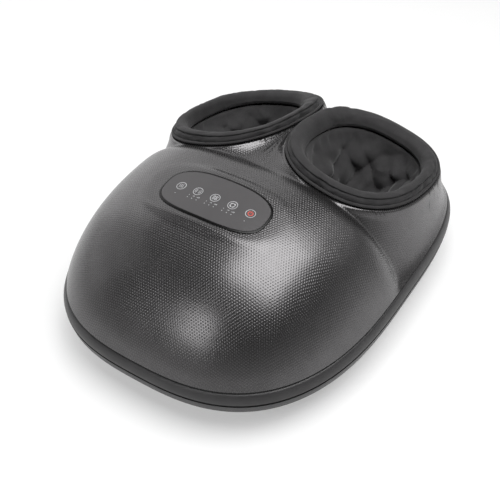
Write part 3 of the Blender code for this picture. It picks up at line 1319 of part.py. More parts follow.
def build():
    clear_scene()
    materials = {
        "cover": make_material("cover", (0.050, 0.049, 0.050), 0.38, 0.35),
        "casing": make_material("casing", (0.045, 0.044, 0.045), 0.45),
        "band": make_material("band", (0.018, 0.018, 0.018), 0.5),
        "panel": make_material("panel", (0.085, 0.080, 0.083), 0.30),
        "gloss": make_material("gloss", (0.010, 0.010, 0.010), 0.25),
        "fabric": make_material("fabric", (0.022, 0.022, 0.023), 0.9),
        "lining": make_material("lining", (0.012, 0.012, 0.013), 0.75),
        "rubber": make_material("rubber", (0.02, 0.02, 0.02), 0.8),
        "plastic": make_material("plastic", (0.35, 0.36, 0.37), 0.5),
        "gear": make_material("gear", (0.72, 0.70, 0.62), 0.45),
        "brass": make_material("brass", (0.60, 0.42, 0.16), 0.35, 1.0),
        "steel": make_material("steel", (0.45, 0.46, 0.48), 0.35, 1.0),
        "board": make_material("board", (0.02, 0.13, 0.05), 0.5),
        "film": make_material("film", (0.50, 0.24, 0.06), 0.4),
    }
    post_toe_x = BODY_HALF_WIDTH - POST_TOE_INSET
    post_places = four_places(post_toe_x, POST_TOE_MARGIN, POST_HEEL_X, POST_HEEL_MARGIN)
    toe_x = BODY_HALF_WIDTH - RUBBER_FOOT_TOE_INSET
    heel_x = BODY_HALF_WIDTH - RUBBER_FOOT_HEEL_INSET
    foot_places = four_places(toe_x, RUBBER_FOOT_TOE_MARGIN, heel_x, RUBBER_FOOT_HEEL_MARGIN)
    make_bottom_shell(materials["casing"], post_places, foot_places)
    make_top_cover(materials["cover"], post_places)
    make_trim_band(materials["band"])
    for place, (x, y) in foot_places.items():
        make_rubber_foot(place, x, y, materials["rubber"])
    for place, (x, y) in post_places.items():
        make_screw(place, x, y, materials["steel"])

    make_panel_bezel(materials["gloss"])
    make_panel_plate("panel_lens", BEZEL_WIDTH + SEAT_GAP, 0.0, LENS_THICKNESS - SEAT_GAP, materials["panel"])
    board_inset = BEZEL_WIDTH + BEZEL_LEDGE + SEAT_GAP * 2
    board_top = -LENS_THICKNESS - SEAT_GAP
    make_panel_plate("touch_board", board_inset, board_top, BOARD_THICKNESS, materials["board"])
    make_main_board(materials)
    make_power_inlet(materials["gloss"])
    make_drive(materials)
    make_air_supply(materials)

    disc_places = {"toe": DRIVE_Y - DRIVE_SPREAD, "heel": DRIVE_Y + DRIVE_SPREAD}
    half_box = WHEEL_PITCH_RADIUS + TOOTH_ADDENDUM + GEARBOX_MARGIN + GEARBOX_WALL / 2
    for side, word in ((1, "left"), (-1, "right")):
        make_collar_pad(word, side, materials["fabric"])
        make_collar_piping(word, side, materials["fabric"])
        make_foot_liner(word, side, materials["lining"])
        make_foot_bed(word, side, materials["plastic"], disc_places)
        make_heater_film(word, side, materials["film"])
        make_gearbox_lower(word, side, materials["plastic"], disc_places)
        make_gearbox_upper(word, side, materials["plastic"], disc_places)
        make_shaft_bush(f"inner_bush_{word}", side * (FOOT_X - half_box), materials["brass"])
        make_shaft_bush(f"outer_bush_{word}", side * (FOOT_X + half_box), materials["brass"])
        make_worm(word, side, side, materials["brass"])
        make_instep(word, side, materials)
        make_buzzer(word, side, materials)
        for end, y in disc_places.items():
            centre = (side * FOOT_X, y, 0.0)
            first = math.radians(90) if end == "toe" else math.radians(30)
            make_kneading_disc(end, word, centre, first, materials["plastic"])
            wheel_centre = (side * FOOT_X, y, DRIVE_Z)
            half_pitch = math.pi / WHEEL_TEETH
            tooth_at = math.radians(90) + half_pitch if end == "toe" else math.radians(-90)
            make_worm_wheel(end, word, wheel_centre, side, tooth_at, materials["gear"])


build()
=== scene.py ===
import math

import bmesh
import bpy
import numpy as np
from mathutils import Matrix, Vector, kdtree
from mathutils.geometry import delaunay_2d_cdt


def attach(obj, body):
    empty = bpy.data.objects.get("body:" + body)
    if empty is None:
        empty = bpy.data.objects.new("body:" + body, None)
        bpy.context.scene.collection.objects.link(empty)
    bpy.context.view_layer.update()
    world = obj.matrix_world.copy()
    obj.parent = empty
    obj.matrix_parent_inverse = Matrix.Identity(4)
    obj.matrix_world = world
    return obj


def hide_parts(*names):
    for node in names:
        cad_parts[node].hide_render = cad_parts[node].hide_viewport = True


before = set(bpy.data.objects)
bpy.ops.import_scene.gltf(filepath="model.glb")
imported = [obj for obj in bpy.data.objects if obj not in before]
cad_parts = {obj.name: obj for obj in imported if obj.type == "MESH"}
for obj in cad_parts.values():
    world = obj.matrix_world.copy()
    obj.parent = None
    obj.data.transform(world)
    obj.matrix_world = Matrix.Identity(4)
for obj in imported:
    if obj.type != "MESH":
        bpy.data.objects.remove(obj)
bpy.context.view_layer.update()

# Bottom casing. A thin injection-moulded tray of charcoal ABS that tapers in under the trim line,
# with a lip that the trim band and the top cover sit over.
BODY_HALF_WIDTH = 0.180
TOE_REACH = 0.231
HEEL_REACH = 0.233
TOE_POWER = 2.73
HEEL_POWER = 3.59
TAPER_SHARE = 0.016
WIDEST_Y = (TOE_REACH - HEEL_REACH) / 2
TOE_END_Y = WIDEST_Y - TOE_REACH
HEEL_END_Y = WIDEST_Y + HEEL_REACH
OUTLINE_STEPS = 192
SEAT_GAP = 0.0003
LOWER_LINE_Z = 0.045
BAND_HEIGHT = 0.0135
BAND_LEAN = 0.005
BAND_THICKNESS = 0.005
BAND_BULGE = 0.0012
BAND_GROOVE = 0.0012
UPPER_LINE_Z = LOWER_LINE_Z + BAND_HEIGHT
FOOT_HEIGHT = 0.0065
SHELL_LIP_INSET = BAND_LEAN + BAND_THICKNESS + 2 * SEAT_GAP
BASE_MARGIN = 0.034
# The ledge and lip faces in these strips are painted near black: painted shade for the groove under the
# trim band.
LEDGE_SHADE_STRIPS = (0, 1)
SHELL_SIDE_SHARES = ((0.012, 1.0), (0.016, 0.97), (0.060, 0.76), (0.075, 0.74), (0.44, 0.27), (0.70, 0.08))
OUTLINE_SAMPLES = 4096
SHARP_ANGLE = math.radians(38)
MOTTLE_SCALE = 60.0
GRAIN_SPAN = (0.3, 0.7)
POLISH_SHARES = (0.9, 1.15)


def oval_point(angle, power):
    """A point of a rounded oval with half sizes of 1."""
    waves = (math.cos(angle), math.sin(angle))
    return [math.copysign(abs(wave) ** (2 / power), wave) for wave in waves]


def outline_point(angle, inset):
    """A point of the plan outline, moved in by the inset."""
    toe_side = math.sin(angle) < 0
    across, along = oval_point(angle, TOE_POWER if toe_side else HEEL_POWER)
    along *= (TOE_REACH if toe_side else HEEL_REACH) - inset
    taper = 1 - TAPER_SHARE * along / HEEL_REACH
    return (BODY_HALF_WIDTH - inset) * taper * across, WIDEST_Y + along


def even_turns(point_at, steps):
    """Angles that cut a closed outline into stretches of the same length."""
    fine = [Vector(point_at(2 * math.pi * i / OUTLINE_SAMPLES)) for i in range(OUTLINE_SAMPLES + 1)]
    ways = np.concatenate([[0.0], np.cumsum([(b - a).length for a, b in zip(fine, fine[1:])])])
    marks = np.linspace(0.0, ways[-1], steps + 1)[:-1]
    return list(np.interp(marks, ways, np.linspace(0.0, 2 * math.pi, OUTLINE_SAMPLES + 1)))


OUTLINE_TURNS = even_turns(lambda angle: outline_point(angle, 0.0), OUTLINE_STEPS)


def outline_ring(inset, z):
    ring = []
    for angle in OUTLINE_TURNS:
        x, y = outline_point(angle, inset)
        ring.append(Vector((x, y, z)))
    return ring


def new_object(name, data):
    made = bpy.data.objects.new(name, data)
    bpy.context.scene.collection.objects.link(made)
    return made


def finish_piece(name, bm, material, body="casing"):
    bmesh.ops.recalc_face_normals(bm, faces=bm.faces)
    mesh = bpy.data.meshes.new(name)
    bm.to_mesh(mesh)
    bm.free()
    mesh.shade_smooth()
    mesh.set_sharp_from_angle(angle=SHARP_ANGLE)
    mesh.materials.append(material)
    piece = new_object(name, mesh)
    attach(piece, body)
    return piece


def skin_rings(bm, rings, wrap=False):
    """Skin a list of point rings with faces."""
    loops = [[bm.verts.new(point) for point in ring] for ring in rings]
    pairs = list(zip(loops, loops[1:]))
    if wrap:
        pairs.append((loops[-1], loops[0]))
    for lower, upper in pairs:
        for i in range(len(lower)):
            j = (i + 1) % len(lower)
            bm.faces.new((lower[i], lower[j], upper[j], upper[i]))
    return loops


def feed(tree, node, inputs):
    """Set the inputs of a shader node. Each takes a value, or else the socket that feeds it."""
    for key, value in dict(inputs).items():
        if isinstance(value, bpy.types.NodeSocket):
            tree.links.new(value, node.inputs[key])
        else:
            node.inputs[key].default_value = value
    return node


def add_node(tree, kind, inputs=()):
    return feed(tree, tree.nodes.new(f"ShaderNode{kind}"), inputs)


def add_math(tree, operation, *terms):
    node = add_node(tree, "Math")
    node.operation = operation
    return feed(tree, node, enumerate(terms)).outputs[0]


def add_range(tree, value, span, smooth=True):
    """Map a value from the first two numbers of the span to its last two, or else to 0 and 1."""
    keys = ("From Min", "From Max", "To Min", "To Max")
    node = add_node(tree, "MapRange", {"Value": value, **dict(zip(keys, span))})
    node.interpolation_type = "SMOOTHSTEP" if smooth else "LINEAR"
    return node.outputs["Result"]


def add_mix(tree, mask, first, second):
    """Go from the first colour to the second as the mask goes from 0 to 1."""
    node = add_node(tree, "Mix")
    node.data_type = "RGBA"
    return feed(tree, node, {0: mask, 6: first, 7: second}).outputs[2]


def add_group(tree, group, inputs):
    node = tree.nodes.new("ShaderNodeGroup")
    node.node_tree = group
    return feed(tree, node, inputs).outputs


def new_group(name, inlets, outlets):
    """A node group. Its first inlet is a place, and its other sockets are plain numbers."""
    group = bpy.data.node_groups.new(name, "ShaderNodeTree")
    for number, socket in enumerate(inlets):
        kind = "NodeSocketFloat" if number else "NodeSocketVector"
        group.interface.new_socket(socket, in_out="INPUT", socket_type=kind)
    for socket in outlets:
        group.interface.new_socket(socket, in_out="OUTPUT", socket_type="NodeSocketFloat")
    inlet = group.nodes.new("NodeGroupInput")
    return group, inlet.outputs, group.nodes.new("NodeGroupOutput")


def surface_grain_group():
    """Moulded, cast or rolled grain. Puts out a mottle and a height, both from 0 to 1."""
    sockets = (("Place", "Grain Scale", "Mottle Scale"), ("Mottle", "Height"))
    group, inlet, outlet = new_group("surface_grain", *sockets)
    for scale, detail, result in (("Mottle Scale", 4.0, "Mottle"), ("Grain Scale", 2.0, "Height")):
        values = {"Vector": inlet["Place"], "Scale": inlet[scale], "Detail": detail}
        cloud = add_node(group, "TexNoise", values)
        feed(group, outlet, {result: add_range(group, cloud.outputs["Fac"], GRAIN_SPAN)})
    return group


surface_grain = surface_grain_group()


def set_shader(material, inputs):
    feed(material.node_tree, material.node_tree.nodes["Principled BSDF"], inputs)


def plain_material(name, colour, roughness, metallic=0.0):
    material = bpy.data.materials.new(name)
    material.use_nodes = True
    set_shader(material, {"Base Color": (*colour, 1.0), "Roughness": roughness, "Metallic": metallic})
    return material


def vary_colour(material, mask, colour, spread):
    """Tint a material between a darker and a lighter shade of its colour by a mask."""
    shades = [(*(part * share for part in colour), 1.0) for share in (1 - spread, 1 + spread)]
    tint = add_mix(material.node_tree, mask, *shades)
    set_shader(material, {"Base Color": tint})
    return tint


def vary_roughness(material, mask, low, high):
    polish = add_range(material.node_tree, mask, (0.0, 1.0, low, high), smooth=False)
    set_shader(material, {"Roughness": polish})


def raise_bump(material, height, depth):
    bump = add_node(material.node_tree, "Bump", {"Distance": depth, "Height": height})
    set_shader(material, {"Normal": bump.outputs["Normal"]})


def object_place(material):
    return add_node(material.node_tree, "TexCoord").outputs["Object"]


def lay_grain(material, grain, stretch=(1, 1, 1)):
    """Lay the surface grain over a material. The stretch draws the grain out."""
    values = {"Vector": object_place(material), "Scale": stretch}
    drawn = add_node(material.node_tree, "Mapping", values)
    values = {"Place": drawn.outputs["Vector"], "Grain Scale": 1 / grain, "Mottle Scale": MOTTLE_SCALE}
    return add_group(material.node_tree, surface_grain, values)


def grained_material(
    name, colour, roughness, metallic=0.0, grain=0.0007, depth=0.00002, spread=0.1, stretch=(1, 1, 1)
):
    """A finish with fine grain, a faint mottle and uneven polish."""
    material = plain_material(name, colour, roughness, metallic)
    skin = lay_grain(material, grain, stretch)
    vary_colour(material, skin["Mottle"], colour, spread)
    vary_roughness(material, skin["Height"], *(roughness * share for share in POLISH_SHARES))
    raise_bump(material, skin["Height"], depth)
    return material


casing_plastic = grained_material("casing_plastic", (0.050, 0.049, 0.050), 0.50, grain=0.0005)
# Near-black painted shade for groove and ledge faces: it stands in for the shadow inside the grooves.
groove_painted_shade = grained_material("groove_painted_shade", (0.004, 0.004, 0.004), 0.7)


def paint_strips(piece, strips, material):
    """Give whole strips of faces between two rings of the outline another material."""
    piece.data.materials.append(material)
    for face in piece.data.polygons:
        face.material_index = int(face.index // OUTLINE_STEPS in strips)


def make_bottom_casing():
    side_depth = LOWER_LINE_Z - BAND_GROOVE - FOOT_HEIGHT
    rim_z = UPPER_LINE_Z + BAND_GROOVE - SEAT_GAP
    rings = [outline_ring(SHELL_LIP_INSET, rim_z), outline_ring(SHELL_LIP_INSET, LOWER_LINE_Z)]
    for across, up in SHELL_SIDE_SHARES:
        rings.append(outline_ring(BASE_MARGIN * across, FOOT_HEIGHT + side_depth * up))
    rings.append(outline_ring(BASE_MARGIN, FOOT_HEIGHT))
    bm = bmesh.new()
    loops = skin_rings(bm, rings)
    bm.faces.new(loops[-1])
    casing = finish_piece("bottom_casing", bm, casing_plastic)
    # Paint the ledge under the trim band near black as painted shade.
    paint_strips(casing, LEDGE_SHADE_STRIPS, groove_painted_shade)
    return casing


bottom_casing = make_bottom_casing()
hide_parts("bottom_shell")

# Trim band. A soft satin elastomer band in the joint of the two casings, with a shadow groove above
# and below it.
BAND_SECTION_SHARES = (
    (0.00, -0.5), (0.09, -0.5), (0.10, 0.20), (0.16, 0.45), (0.30, 0.85), (0.50, 1.00),
    (0.70, 0.85), (0.83, 0.45), (0.895, 0.05), (0.905, -0.6), (1.00, -0.6),
)
# Strips of the band's groove faces that are painted near black as painted shade.
GROOVE_SHADE_STRIPS = (0, 9, 10, 11, 12)
band_rubber = grained_material("band_rubber", (0.030, 0.029, 0.030), 0.42, grain=0.0004, depth=0.00003)


def make_trim_band():
    low = LOWER_LINE_Z + SEAT_GAP
    height = UPPER_LINE_Z - low
    back = SHELL_LIP_INSET - SEAT_GAP
    rings = []
    for up, out in BAND_SECTION_SHARES:
        rings.append(outline_ring(BAND_LEAN * up - BAND_BULGE * out, low + height * up))
    rings += [outline_ring(back, UPPER_LINE_Z), outline_ring(back, low)]
    bm = bmesh.new()
    skin_rings(bm, rings, wrap=True)
    band = finish_piece("soft_trim_band", bm, band_rubber)
    # Paint the band's groove faces near black as painted shade.
    paint_strips(band, GROOVE_SHADE_STRIPS, groove_painted_shade)
    return band


trim_band = make_trim_band()
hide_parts("trim_band")

# Top cover. One moulded ABS shell with a fine honeycomb texture: a dome over the toes, a flared skirt
# and a neck that rises to the two collars. It snaps over the lip and is held by four screws.
COLLAR_INNER_GAP = 0.0015
COLLAR_SIDE_MARGIN = 0.0265
COLLAR_REAR_MARGIN = 0.0337
COLLAR_HALF_WIDTH = (BODY_HALF_WIDTH - COLLAR_SIDE_MARGIN - COLLAR_INNER_GAP) / 2
COLLAR_HALF_LENGTH = 0.1033
COLLAR_X = COLLAR_INNER_GAP + COLLAR_HALF_WIDTH
COLLAR_Y = HEEL_END_Y - COLLAR_REAR_MARGIN - COLLAR_HALF_LENGTH
COLLAR_Z = 0.1362
COLLAR_POWER = 2.39
COLLAR_SIDE_SLOPE_SHARE = 0.261
COLLAR_REAR_SLOPE_SHARE = 0.213
COLLAR_SAG = 0.003
MOUTH_SHIFT_X = 0.0012
MOUTH_SHIFT_Y = -0.0047
ROLL_SIDE_WIDTH = 0.0202
ROLL_END_WIDTH = 0.0312
MOUTH_HALF_WIDTH = COLLAR_HALF_WIDTH - ROLL_SIDE_WIDTH
MOUTH_HALF_LENGTH = COLLAR_HALF_LENGTH - ROLL_END_WIDTH
COVER_HOLE_SHARE = 0.45
COVER_WALL = 0.0025
COVER_ROOF = 0.003
CREST_AHEAD = 0.125
CREST_Y = COLLAR_Y - CREST_AHEAD
DOME_RISE = 0.108
DOME_SIDE_POWER = 3.5
DOME_TOE_POWER = 2.7
DOME_WALL_POWER = 1.3
SKIRT_SLOPE_SHARE = 0.42
SKIRT_SPAN = 0.170
SKIRT_BLEND = 0.004
NECK_BLEND = 0.005
NECK_POWER = 1.3
NECK_SPAN = 0.090
CREASE_BLEND = 0.016
CREASE_FULL_SHARE = 1.3
CREST_FALL_RADIUS = 0.026
CREST_EASE = 0.012
DOME_SEARCH_SHARES = (0.001, 1.6)
DOME_SEARCH_STEPS = 24
COLLAR_LIP_SHARE = 1.05
COLLAR_SEAT_SHARE = 0.89
PANEL_FLAT_SHARES = (1.12, 1.45)
PANEL_WALL_SHARE = 1.4
PANEL_AHEAD = 0.052
PANEL_Y = CREST_Y - PANEL_AHEAD
PANEL_Z = 0.1668
PANEL_HALF_LENGTH = 0.063
PANEL_HALF_DEPTH = 0.030
PANEL_TILT_SHARE = 0.121
PANEL_SAG = 0.0045
PANEL_POWER = 2.94
BEZEL_WIDTH = 0.0022
BEZEL_PROUD = 0.0012
BEZEL_WALL = 0.001
TINY = 0.000001
PANEL_STEPS = 96
COVER_GRID = 0.0045
GRID_ROW_SHARE = 0.87
GRID_ROOM_SHARE = 0.6
LOOP_ROOM_SHARE = 0.25
PANEL_LOOP_SHARES = (1.04, 1.09, 1.14, 1.2, 1.26, 1.33, 1.4, 1.47)
COLLAR_LOOP_SHARES = (0.97, 1.012, 1.025, 1.038, 1.052, 1.08, 1.12)
TRIM_LOOP_SHARES = (0.998, 0.994, 0.988, 0.98, 0.97, 0.955, 0.94, 0.92)
CREASE_GRID = 0.0028
CREASE_SHARES = (0.12, 0.26, 0.42, 0.6, 0.8)
TRIM_EDGE_SHARE = 0.999
ROOF_EDGE_SHARE = 0.02


def oval_share(across, along, power):
    """1 on the outline of an oval and less inside it, from shares of its half width and length."""
    return (abs(across) ** power + abs(along) ** power) ** (1 / power)


def outline_share(x, y):
    """0 at the middle of the plan and 1 on the upper trim line."""
    along = y - WIDEST_Y
    reach = (TOE_REACH if along < 0 else HEEL_REACH) - BAND_LEAN
    taper = 1 - TAPER_SHARE * along / HEEL_REACH
    power = TOE_POWER if along < 0 else HEEL_POWER
    return oval_share(x / ((BODY_HALF_WIDTH - BAND_LEAN) * taper), along / reach, power)


def dome_share(x, y):
    """How far a point lies from the crest's middle towards the upper trim line, from 0 to 1."""
    low, high = DOME_SEARCH_SHARES
    for _ in range(DOME_SEARCH_STEPS):
        middle = (low + high) / 2
        if outline_share(x / middle, CREST_Y + (y - CREST_Y) / middle) > 1:
            low = middle
        else:
            high = middle
    return (low + high) / 2


def smooth_max(a, b, blend):
    return (a + b + math.hypot(a - b, blend)) / 2


def smooth_step(low, high, value):
    share = min(max((value - low) / (high - low), 0.0), 1.0)
    return share * share * (3 - 2 * share)


def collar_share(x, y):
    """1 on the outline of the collar that is nearest, less inside it."""
    across = (abs(x) - COLLAR_X) / COLLAR_HALF_WIDTH
    return oval_share(across, (y - COLLAR_Y) / COLLAR_HALF_LENGTH, COLLAR_POWER)


def collar_plane(x, y):
    """Height of the seat that a collar lies on: it falls outwards and towards the heel."""
    across = abs(x) - COLLAR_X
    sag = COLLAR_SAG * (across / COLLAR_HALF_WIDTH) ** 2
    return COLLAR_Z - COLLAR_SIDE_SLOPE_SHARE * across - COLLAR_REAR_SLOPE_SHARE * (y - COLLAR_Y) + sag


def panel_share(x, y):
    return oval_share(x / PANEL_HALF_LENGTH, (y - PANEL_Y) / PANEL_HALF_DEPTH, PANEL_POWER)


def panel_plane(x, y):
    return PANEL_Z + PANEL_TILT_SHARE * (y - PANEL_Y) - PANEL_SAG * (x / PANEL_HALF_LENGTH) ** 2


def cover_height(x, y):
    """Outer surface of the top cover: a dome over the toes, a flared skirt and a neck to the collars."""
    toe_y = min(y, CREST_Y)
    share = dome_share(x, toe_y)
    bearing = math.atan2(abs(toe_y - CREST_Y), abs(x) + TINY)
    power = DOME_SIDE_POWER + (DOME_TOE_POWER - DOME_SIDE_POWER) * math.sin(bearing) ** 2
    behind = max(y - CREST_Y, 0.0)
    dome = DOME_RISE * max(1 - share**power, 0.0) ** (1 / DOME_WALL_POWER)
    dome -= behind**3 / (2 * CREST_FALL_RADIUS * (behind + CREST_EASE))
    to_trim = max(1 - outline_share(x, y), 0.0) * SKIRT_SPAN
    rise = smooth_max(dome, SKIRT_SLOPE_SHARE * to_trim, SKIRT_BLEND)
    blend = CREASE_BLEND * smooth_step(1.0, CREASE_FULL_SHARE, collar_share(x, y))
    near_x = math.hypot(x, blend)
    to_collar = max(collar_share(near_x, y) - 1, 0.0) * NECK_SPAN
    fall = to_collar / (to_collar + to_trim + TINY)
    neck = (collar_plane(near_x, y) - UPPER_LINE_Z) * (1 - fall) ** NECK_POWER
    height = UPPER_LINE_Z + smooth_max(rise, neck, NECK_BLEND)
    lip = smooth_step(1.0, COLLAR_LIP_SHARE, collar_share(x, y))
    height = collar_plane(x, y) + lip * (height - collar_plane(x, y))
    flat = 1 - smooth_step(*PANEL_FLAT_SHARES, panel_share(x, y))
    return height + flat * (panel_plane(x, y) - BEZEL_PROUD - height)


def superellipse(half_x, half_y, power, steps):
    def point_at(angle):
        x, y = oval_point(angle, power)
        return half_x * x, half_y * y

    return [point_at(angle) for angle in even_turns(point_at, steps)]


def collar_point(angle, towards_mouth, side):
    """Plan point on a collar: 0 is its outline, 1 its mouth. The side is 1 at +X and -1 at -X."""
    c, s = oval_point(angle, COLLAR_POWER)
    outer = Vector((COLLAR_X + COLLAR_HALF_WIDTH * c, COLLAR_Y + COLLAR_HALF_LENGTH * s))
    mouth_x = COLLAR_X + MOUTH_SHIFT_X + MOUTH_HALF_WIDTH * c
    mouth_y = COLLAR_Y + MOUTH_SHIFT_Y + MOUTH_HALF_LENGTH * s
    point = outer.lerp(Vector((mouth_x, mouth_y)), towards_mouth)
    return side * point.x, point.y


COLLAR_STEPS = 128
COLLAR_TURNS = even_turns(lambda angle: collar_point(angle, 0.0, 1), COLLAR_STEPS)


def scaled_loop(plan, centre_x, centre_y, grow):
    return [(centre_x + (x - centre_x) * grow, centre_y + (y - centre_y) * grow) for x, y in plan]


def cover_plan():
    """Closed loops that must stay whole, then loose points between them."""
    trim = [outline_point(angle, BAND_LEAN) for angle in OUTLINE_TURNS]
    inset = BEZEL_WIDTH - BEZEL_WALL - SEAT_GAP
    panel = superellipse(PANEL_HALF_LENGTH - inset, PANEL_HALF_DEPTH - inset, PANEL_POWER, PANEL_STEPS)
    holes = [[(x, PANEL_Y + y) for x, y in panel]]
    loose = [scaled_loop(holes[0], 0.0, PANEL_Y, grow) for grow in PANEL_LOOP_SHARES]
    lips = []
    for side in (1, -1):
        holes.append([collar_point(angle, COVER_HOLE_SHARE, side) for angle in COLLAR_TURNS])
        lip = [collar_point(angle, 0.0, side) for angle in COLLAR_TURNS]
        loose += [scaled_loop(lip, side * COLLAR_X, COLLAR_Y, grow) for grow in COLLAR_LOOP_SHARES]
        lips.append(lip)
    loose += [scaled_loop(trim, 0.0, CREST_Y, grow) for grow in TRIM_LOOP_SHARES]
    steps = int((HEEL_END_Y - CREST_Y) / CREASE_GRID)
    across = [side * share * CREASE_BLEND for share in CREASE_SHARES for side in (-1, 1)]
    loose.append([(x, CREST_Y + i * CREASE_GRID) for i in range(steps) for x in (0.0, *across)])
    columns = int(BODY_HALF_WIDTH / COVER_GRID) + 1
    rows = int(HEEL_REACH / COVER_GRID / GRID_ROW_SHARE) + 1
    grid = []
    for row in range(-rows, rows + 1):
        for column in range(-columns, columns + 1):
            x = (column + (row % 2) / 2) * COVER_GRID
            grid.append((x, row * COVER_GRID * GRID_ROW_SHARE))
    return trim, holes, lips, [*loose, grid]


def in_loop(x, y, loop):
    """True inside a loop that has no dents."""
    corners = np.asarray(loop)
    ahead = np.roll(corners, -1, axis=0) - corners
    turn = ahead[:, 0] * (y - corners[:, 1]) - ahead[:, 1] * (x - corners[:, 0])
    return bool(np.all(turn > 0) or np.all(turn < 0))


def cover_pair(x, y):
    """The outer and the inner point of the cover for one plan point."""
    share = dome_share(x, y)
    high = UPPER_LINE_Z + BAND_GROOVE if share > TRIM_EDGE_SHARE else cover_height(x, y)
    wall = COVER_WALL * share / math.hypot(x, y - CREST_Y)
    wall *= smooth_step(COLLAR_SEAT_SHARE, 1.0, collar_share(x, y))
    wall *= smooth_step(1.0, PANEL_WALL_SHARE, panel_share(x, y))
    low = high - COVER_ROOF * smooth_step(0.0, ROOF_EDGE_SHARE, 1 - share)
    return (x, y, high), (x - x * wall, y - (y - CREST_Y) * wall, low)


LATTICE_ROW = 0.00256
LATTICE_CELL = 0.00296
LATTICE_DEPTH = 0.00012
LATTICE_WAVES = ((1.0, 0.5), (1.0, -0.5), (0.0, 1.0))
DIMPLE_SPAN = (-0.6, 2.8, 1.0, 0.0)
ARC_GRID = 0.003
SLOPE_STEP = 0.0004
EDGE_SHARE = 0.985
COVER_COLOUR = (0.118, 0.115, 0.117)
COVER_POLISH = (0.36, 0.27)
TRIM_FADE_SPAN = (0.01, 0.12, 0.30)


def lattice_map():
    """Arc lengths along X and along Y over a plan grid, so that the texture's cells keep one size."""
    xs = np.arange(-BODY_HALF_WIDTH - ARC_GRID, BODY_HALF_WIDTH + 2 * ARC_GRID, ARC_GRID)
    ys = np.arange(TOE_END_Y - ARC_GRID, HEEL_END_Y + 2 * ARC_GRID, ARC_GRID)
    heights = np.array([[cover_height(x, y) for y in ys] for x in xs])
    along_x = np.cumsum(np.hypot(np.diff(heights, axis=0, prepend=heights[:1]), ARC_GRID), axis=0)
    along_y = np.cumsum(np.hypot(np.diff(heights, axis=1, prepend=heights[:, :1]), ARC_GRID), axis=1)
    along_x -= along_x[len(xs) // 2]
    along_y -= along_y[:, len(ys) // 2, None]
    return xs, ys, along_x, along_y


def read_grid(grid, xs, ys, x, y):
    column = (x - xs[0]) / ARC_GRID
    row = (y - ys[0]) / ARC_GRID
    i, j = int(column), int(row)
    s, t = column - i, row - j
    near = grid[i, j] * (1 - t) + grid[i, j + 1] * t
    far = grid[i + 1, j] * (1 - t) + grid[i + 1, j + 1] * t
    return float(near * (1 - s) + far * s)


def cover_normal(x, y):
    """Normal of the cover. Next to the trim line it is read a little further in, where it is steady."""
    step = SLOPE_STEP
    pull = min(1.0, EDGE_SHARE / max(outline_share(x, y), TINY))
    x *= pull
    y = WIDEST_Y + (y - WIDEST_Y) * pull
    slope_x = (cover_height(x + step, y) - cover_height(x - step, y)) / (2 * step)
    slope_y = (cover_height(x, y + step) - cover_height(x, y - step)) / (2 * step)
    return Vector((-slope_x, -slope_y, 1.0)).normalized()


def dress_cover(piece):
    """Give the cover its exact normals, the map of its texture, and how near each point is to the trim."""
    mesh = piece.data
    xs, ys, along_x, along_y = lattice_map()
    spots = [vert.co.copy() for vert in mesh.vertices]
    exact = {i: cover_normal(spots[i].x, spots[i].y) for i in range(0, len(spots), 2)}
    normals = [Vector(corner.vector) for corner in mesh.corner_normals]
    for face in mesh.polygons:
        if all(i % 2 == 0 for i in face.vertices):
            for corner in face.loop_indices:
                normals[corner] = exact[mesh.loops[corner].vertex_index]
    mesh.normals_split_custom_set(normals)
    lattice = mesh.uv_layers.new(name="lattice")
    for corner in mesh.loops:
        x, y, _ = spots[corner.vertex_index]
        u = read_grid(along_x, xs, ys, x, y)
        v = read_grid(along_y, xs, ys, x, y)
        lattice.data[corner.index].uv = (u, v)
    trim_way = mesh.attributes.new("trim_way", "FLOAT", "POINT")
    for i, spot in enumerate(spots):
        to_lip = max(collar_share(spot.x, spot.y) - 1, 0.0)
        trim_way.data[i].value = min(1 - outline_share(spot.x, spot.y), to_lip)


def lattice_group():
    """A flat net with a round dimple in each hexagonal cell. Puts out a height from 0 to 1."""
    group, inlet, outlet = new_group("hexagon_cells", ("Map",), ("Height",))
    total = 0.0
    for along, up in LATTICE_WAVES:
        turns = (2 * math.pi * along / LATTICE_CELL, 2 * math.pi * up / LATTICE_ROW, 0.0)
        wave = add_node(group, "VectorMath", {0: inlet["Map"], 1: turns})
        wave.operation = "DOT_PRODUCT"
        total = add_math(group, "ADD", total, add_math(group, "COSINE", wave.outputs["Value"]))
    feed(group, outlet, {"Height": add_range(group, total, DIMPLE_SPAN)})
    return group


def point_value(material, name):
    node = add_node(material.node_tree, "Attribute")
    node.attribute_name = name
    return node.outputs["Fac"]


def make_cover_plastic():
    material = plain_material("cover_plastic", COVER_COLOUR, COVER_POLISH[1], metallic=0.93)
    tree = material.node_tree
    place = add_node(tree, "UVMap")
    place.uv_map = "lattice"
    cells = add_group(tree, lattice_group(), {"Map": place.outputs["UV"]})["Height"]
    mottle = lay_grain(material, LATTICE_CELL)["Mottle"]
    vary_colour(material, mottle, COVER_COLOUR, spread=0.04)
    vary_roughness(material, cells, *COVER_POLISH)
    fade = add_range(tree, point_value(material, "trim_way"), TRIM_FADE_SPAN, smooth=False)
    raise_bump(material, add_math(tree, "MULTIPLY", cells, fade), LATTICE_DEPTH)
    return material


cover_plastic = make_cover_plastic()


def plan_tree(points):
    tree = kdtree.KDTree(len(points))
    for i, (x, y) in enumerate(points):
        tree.insert((x, y, 0.0), i)
    tree.balance()
    return tree


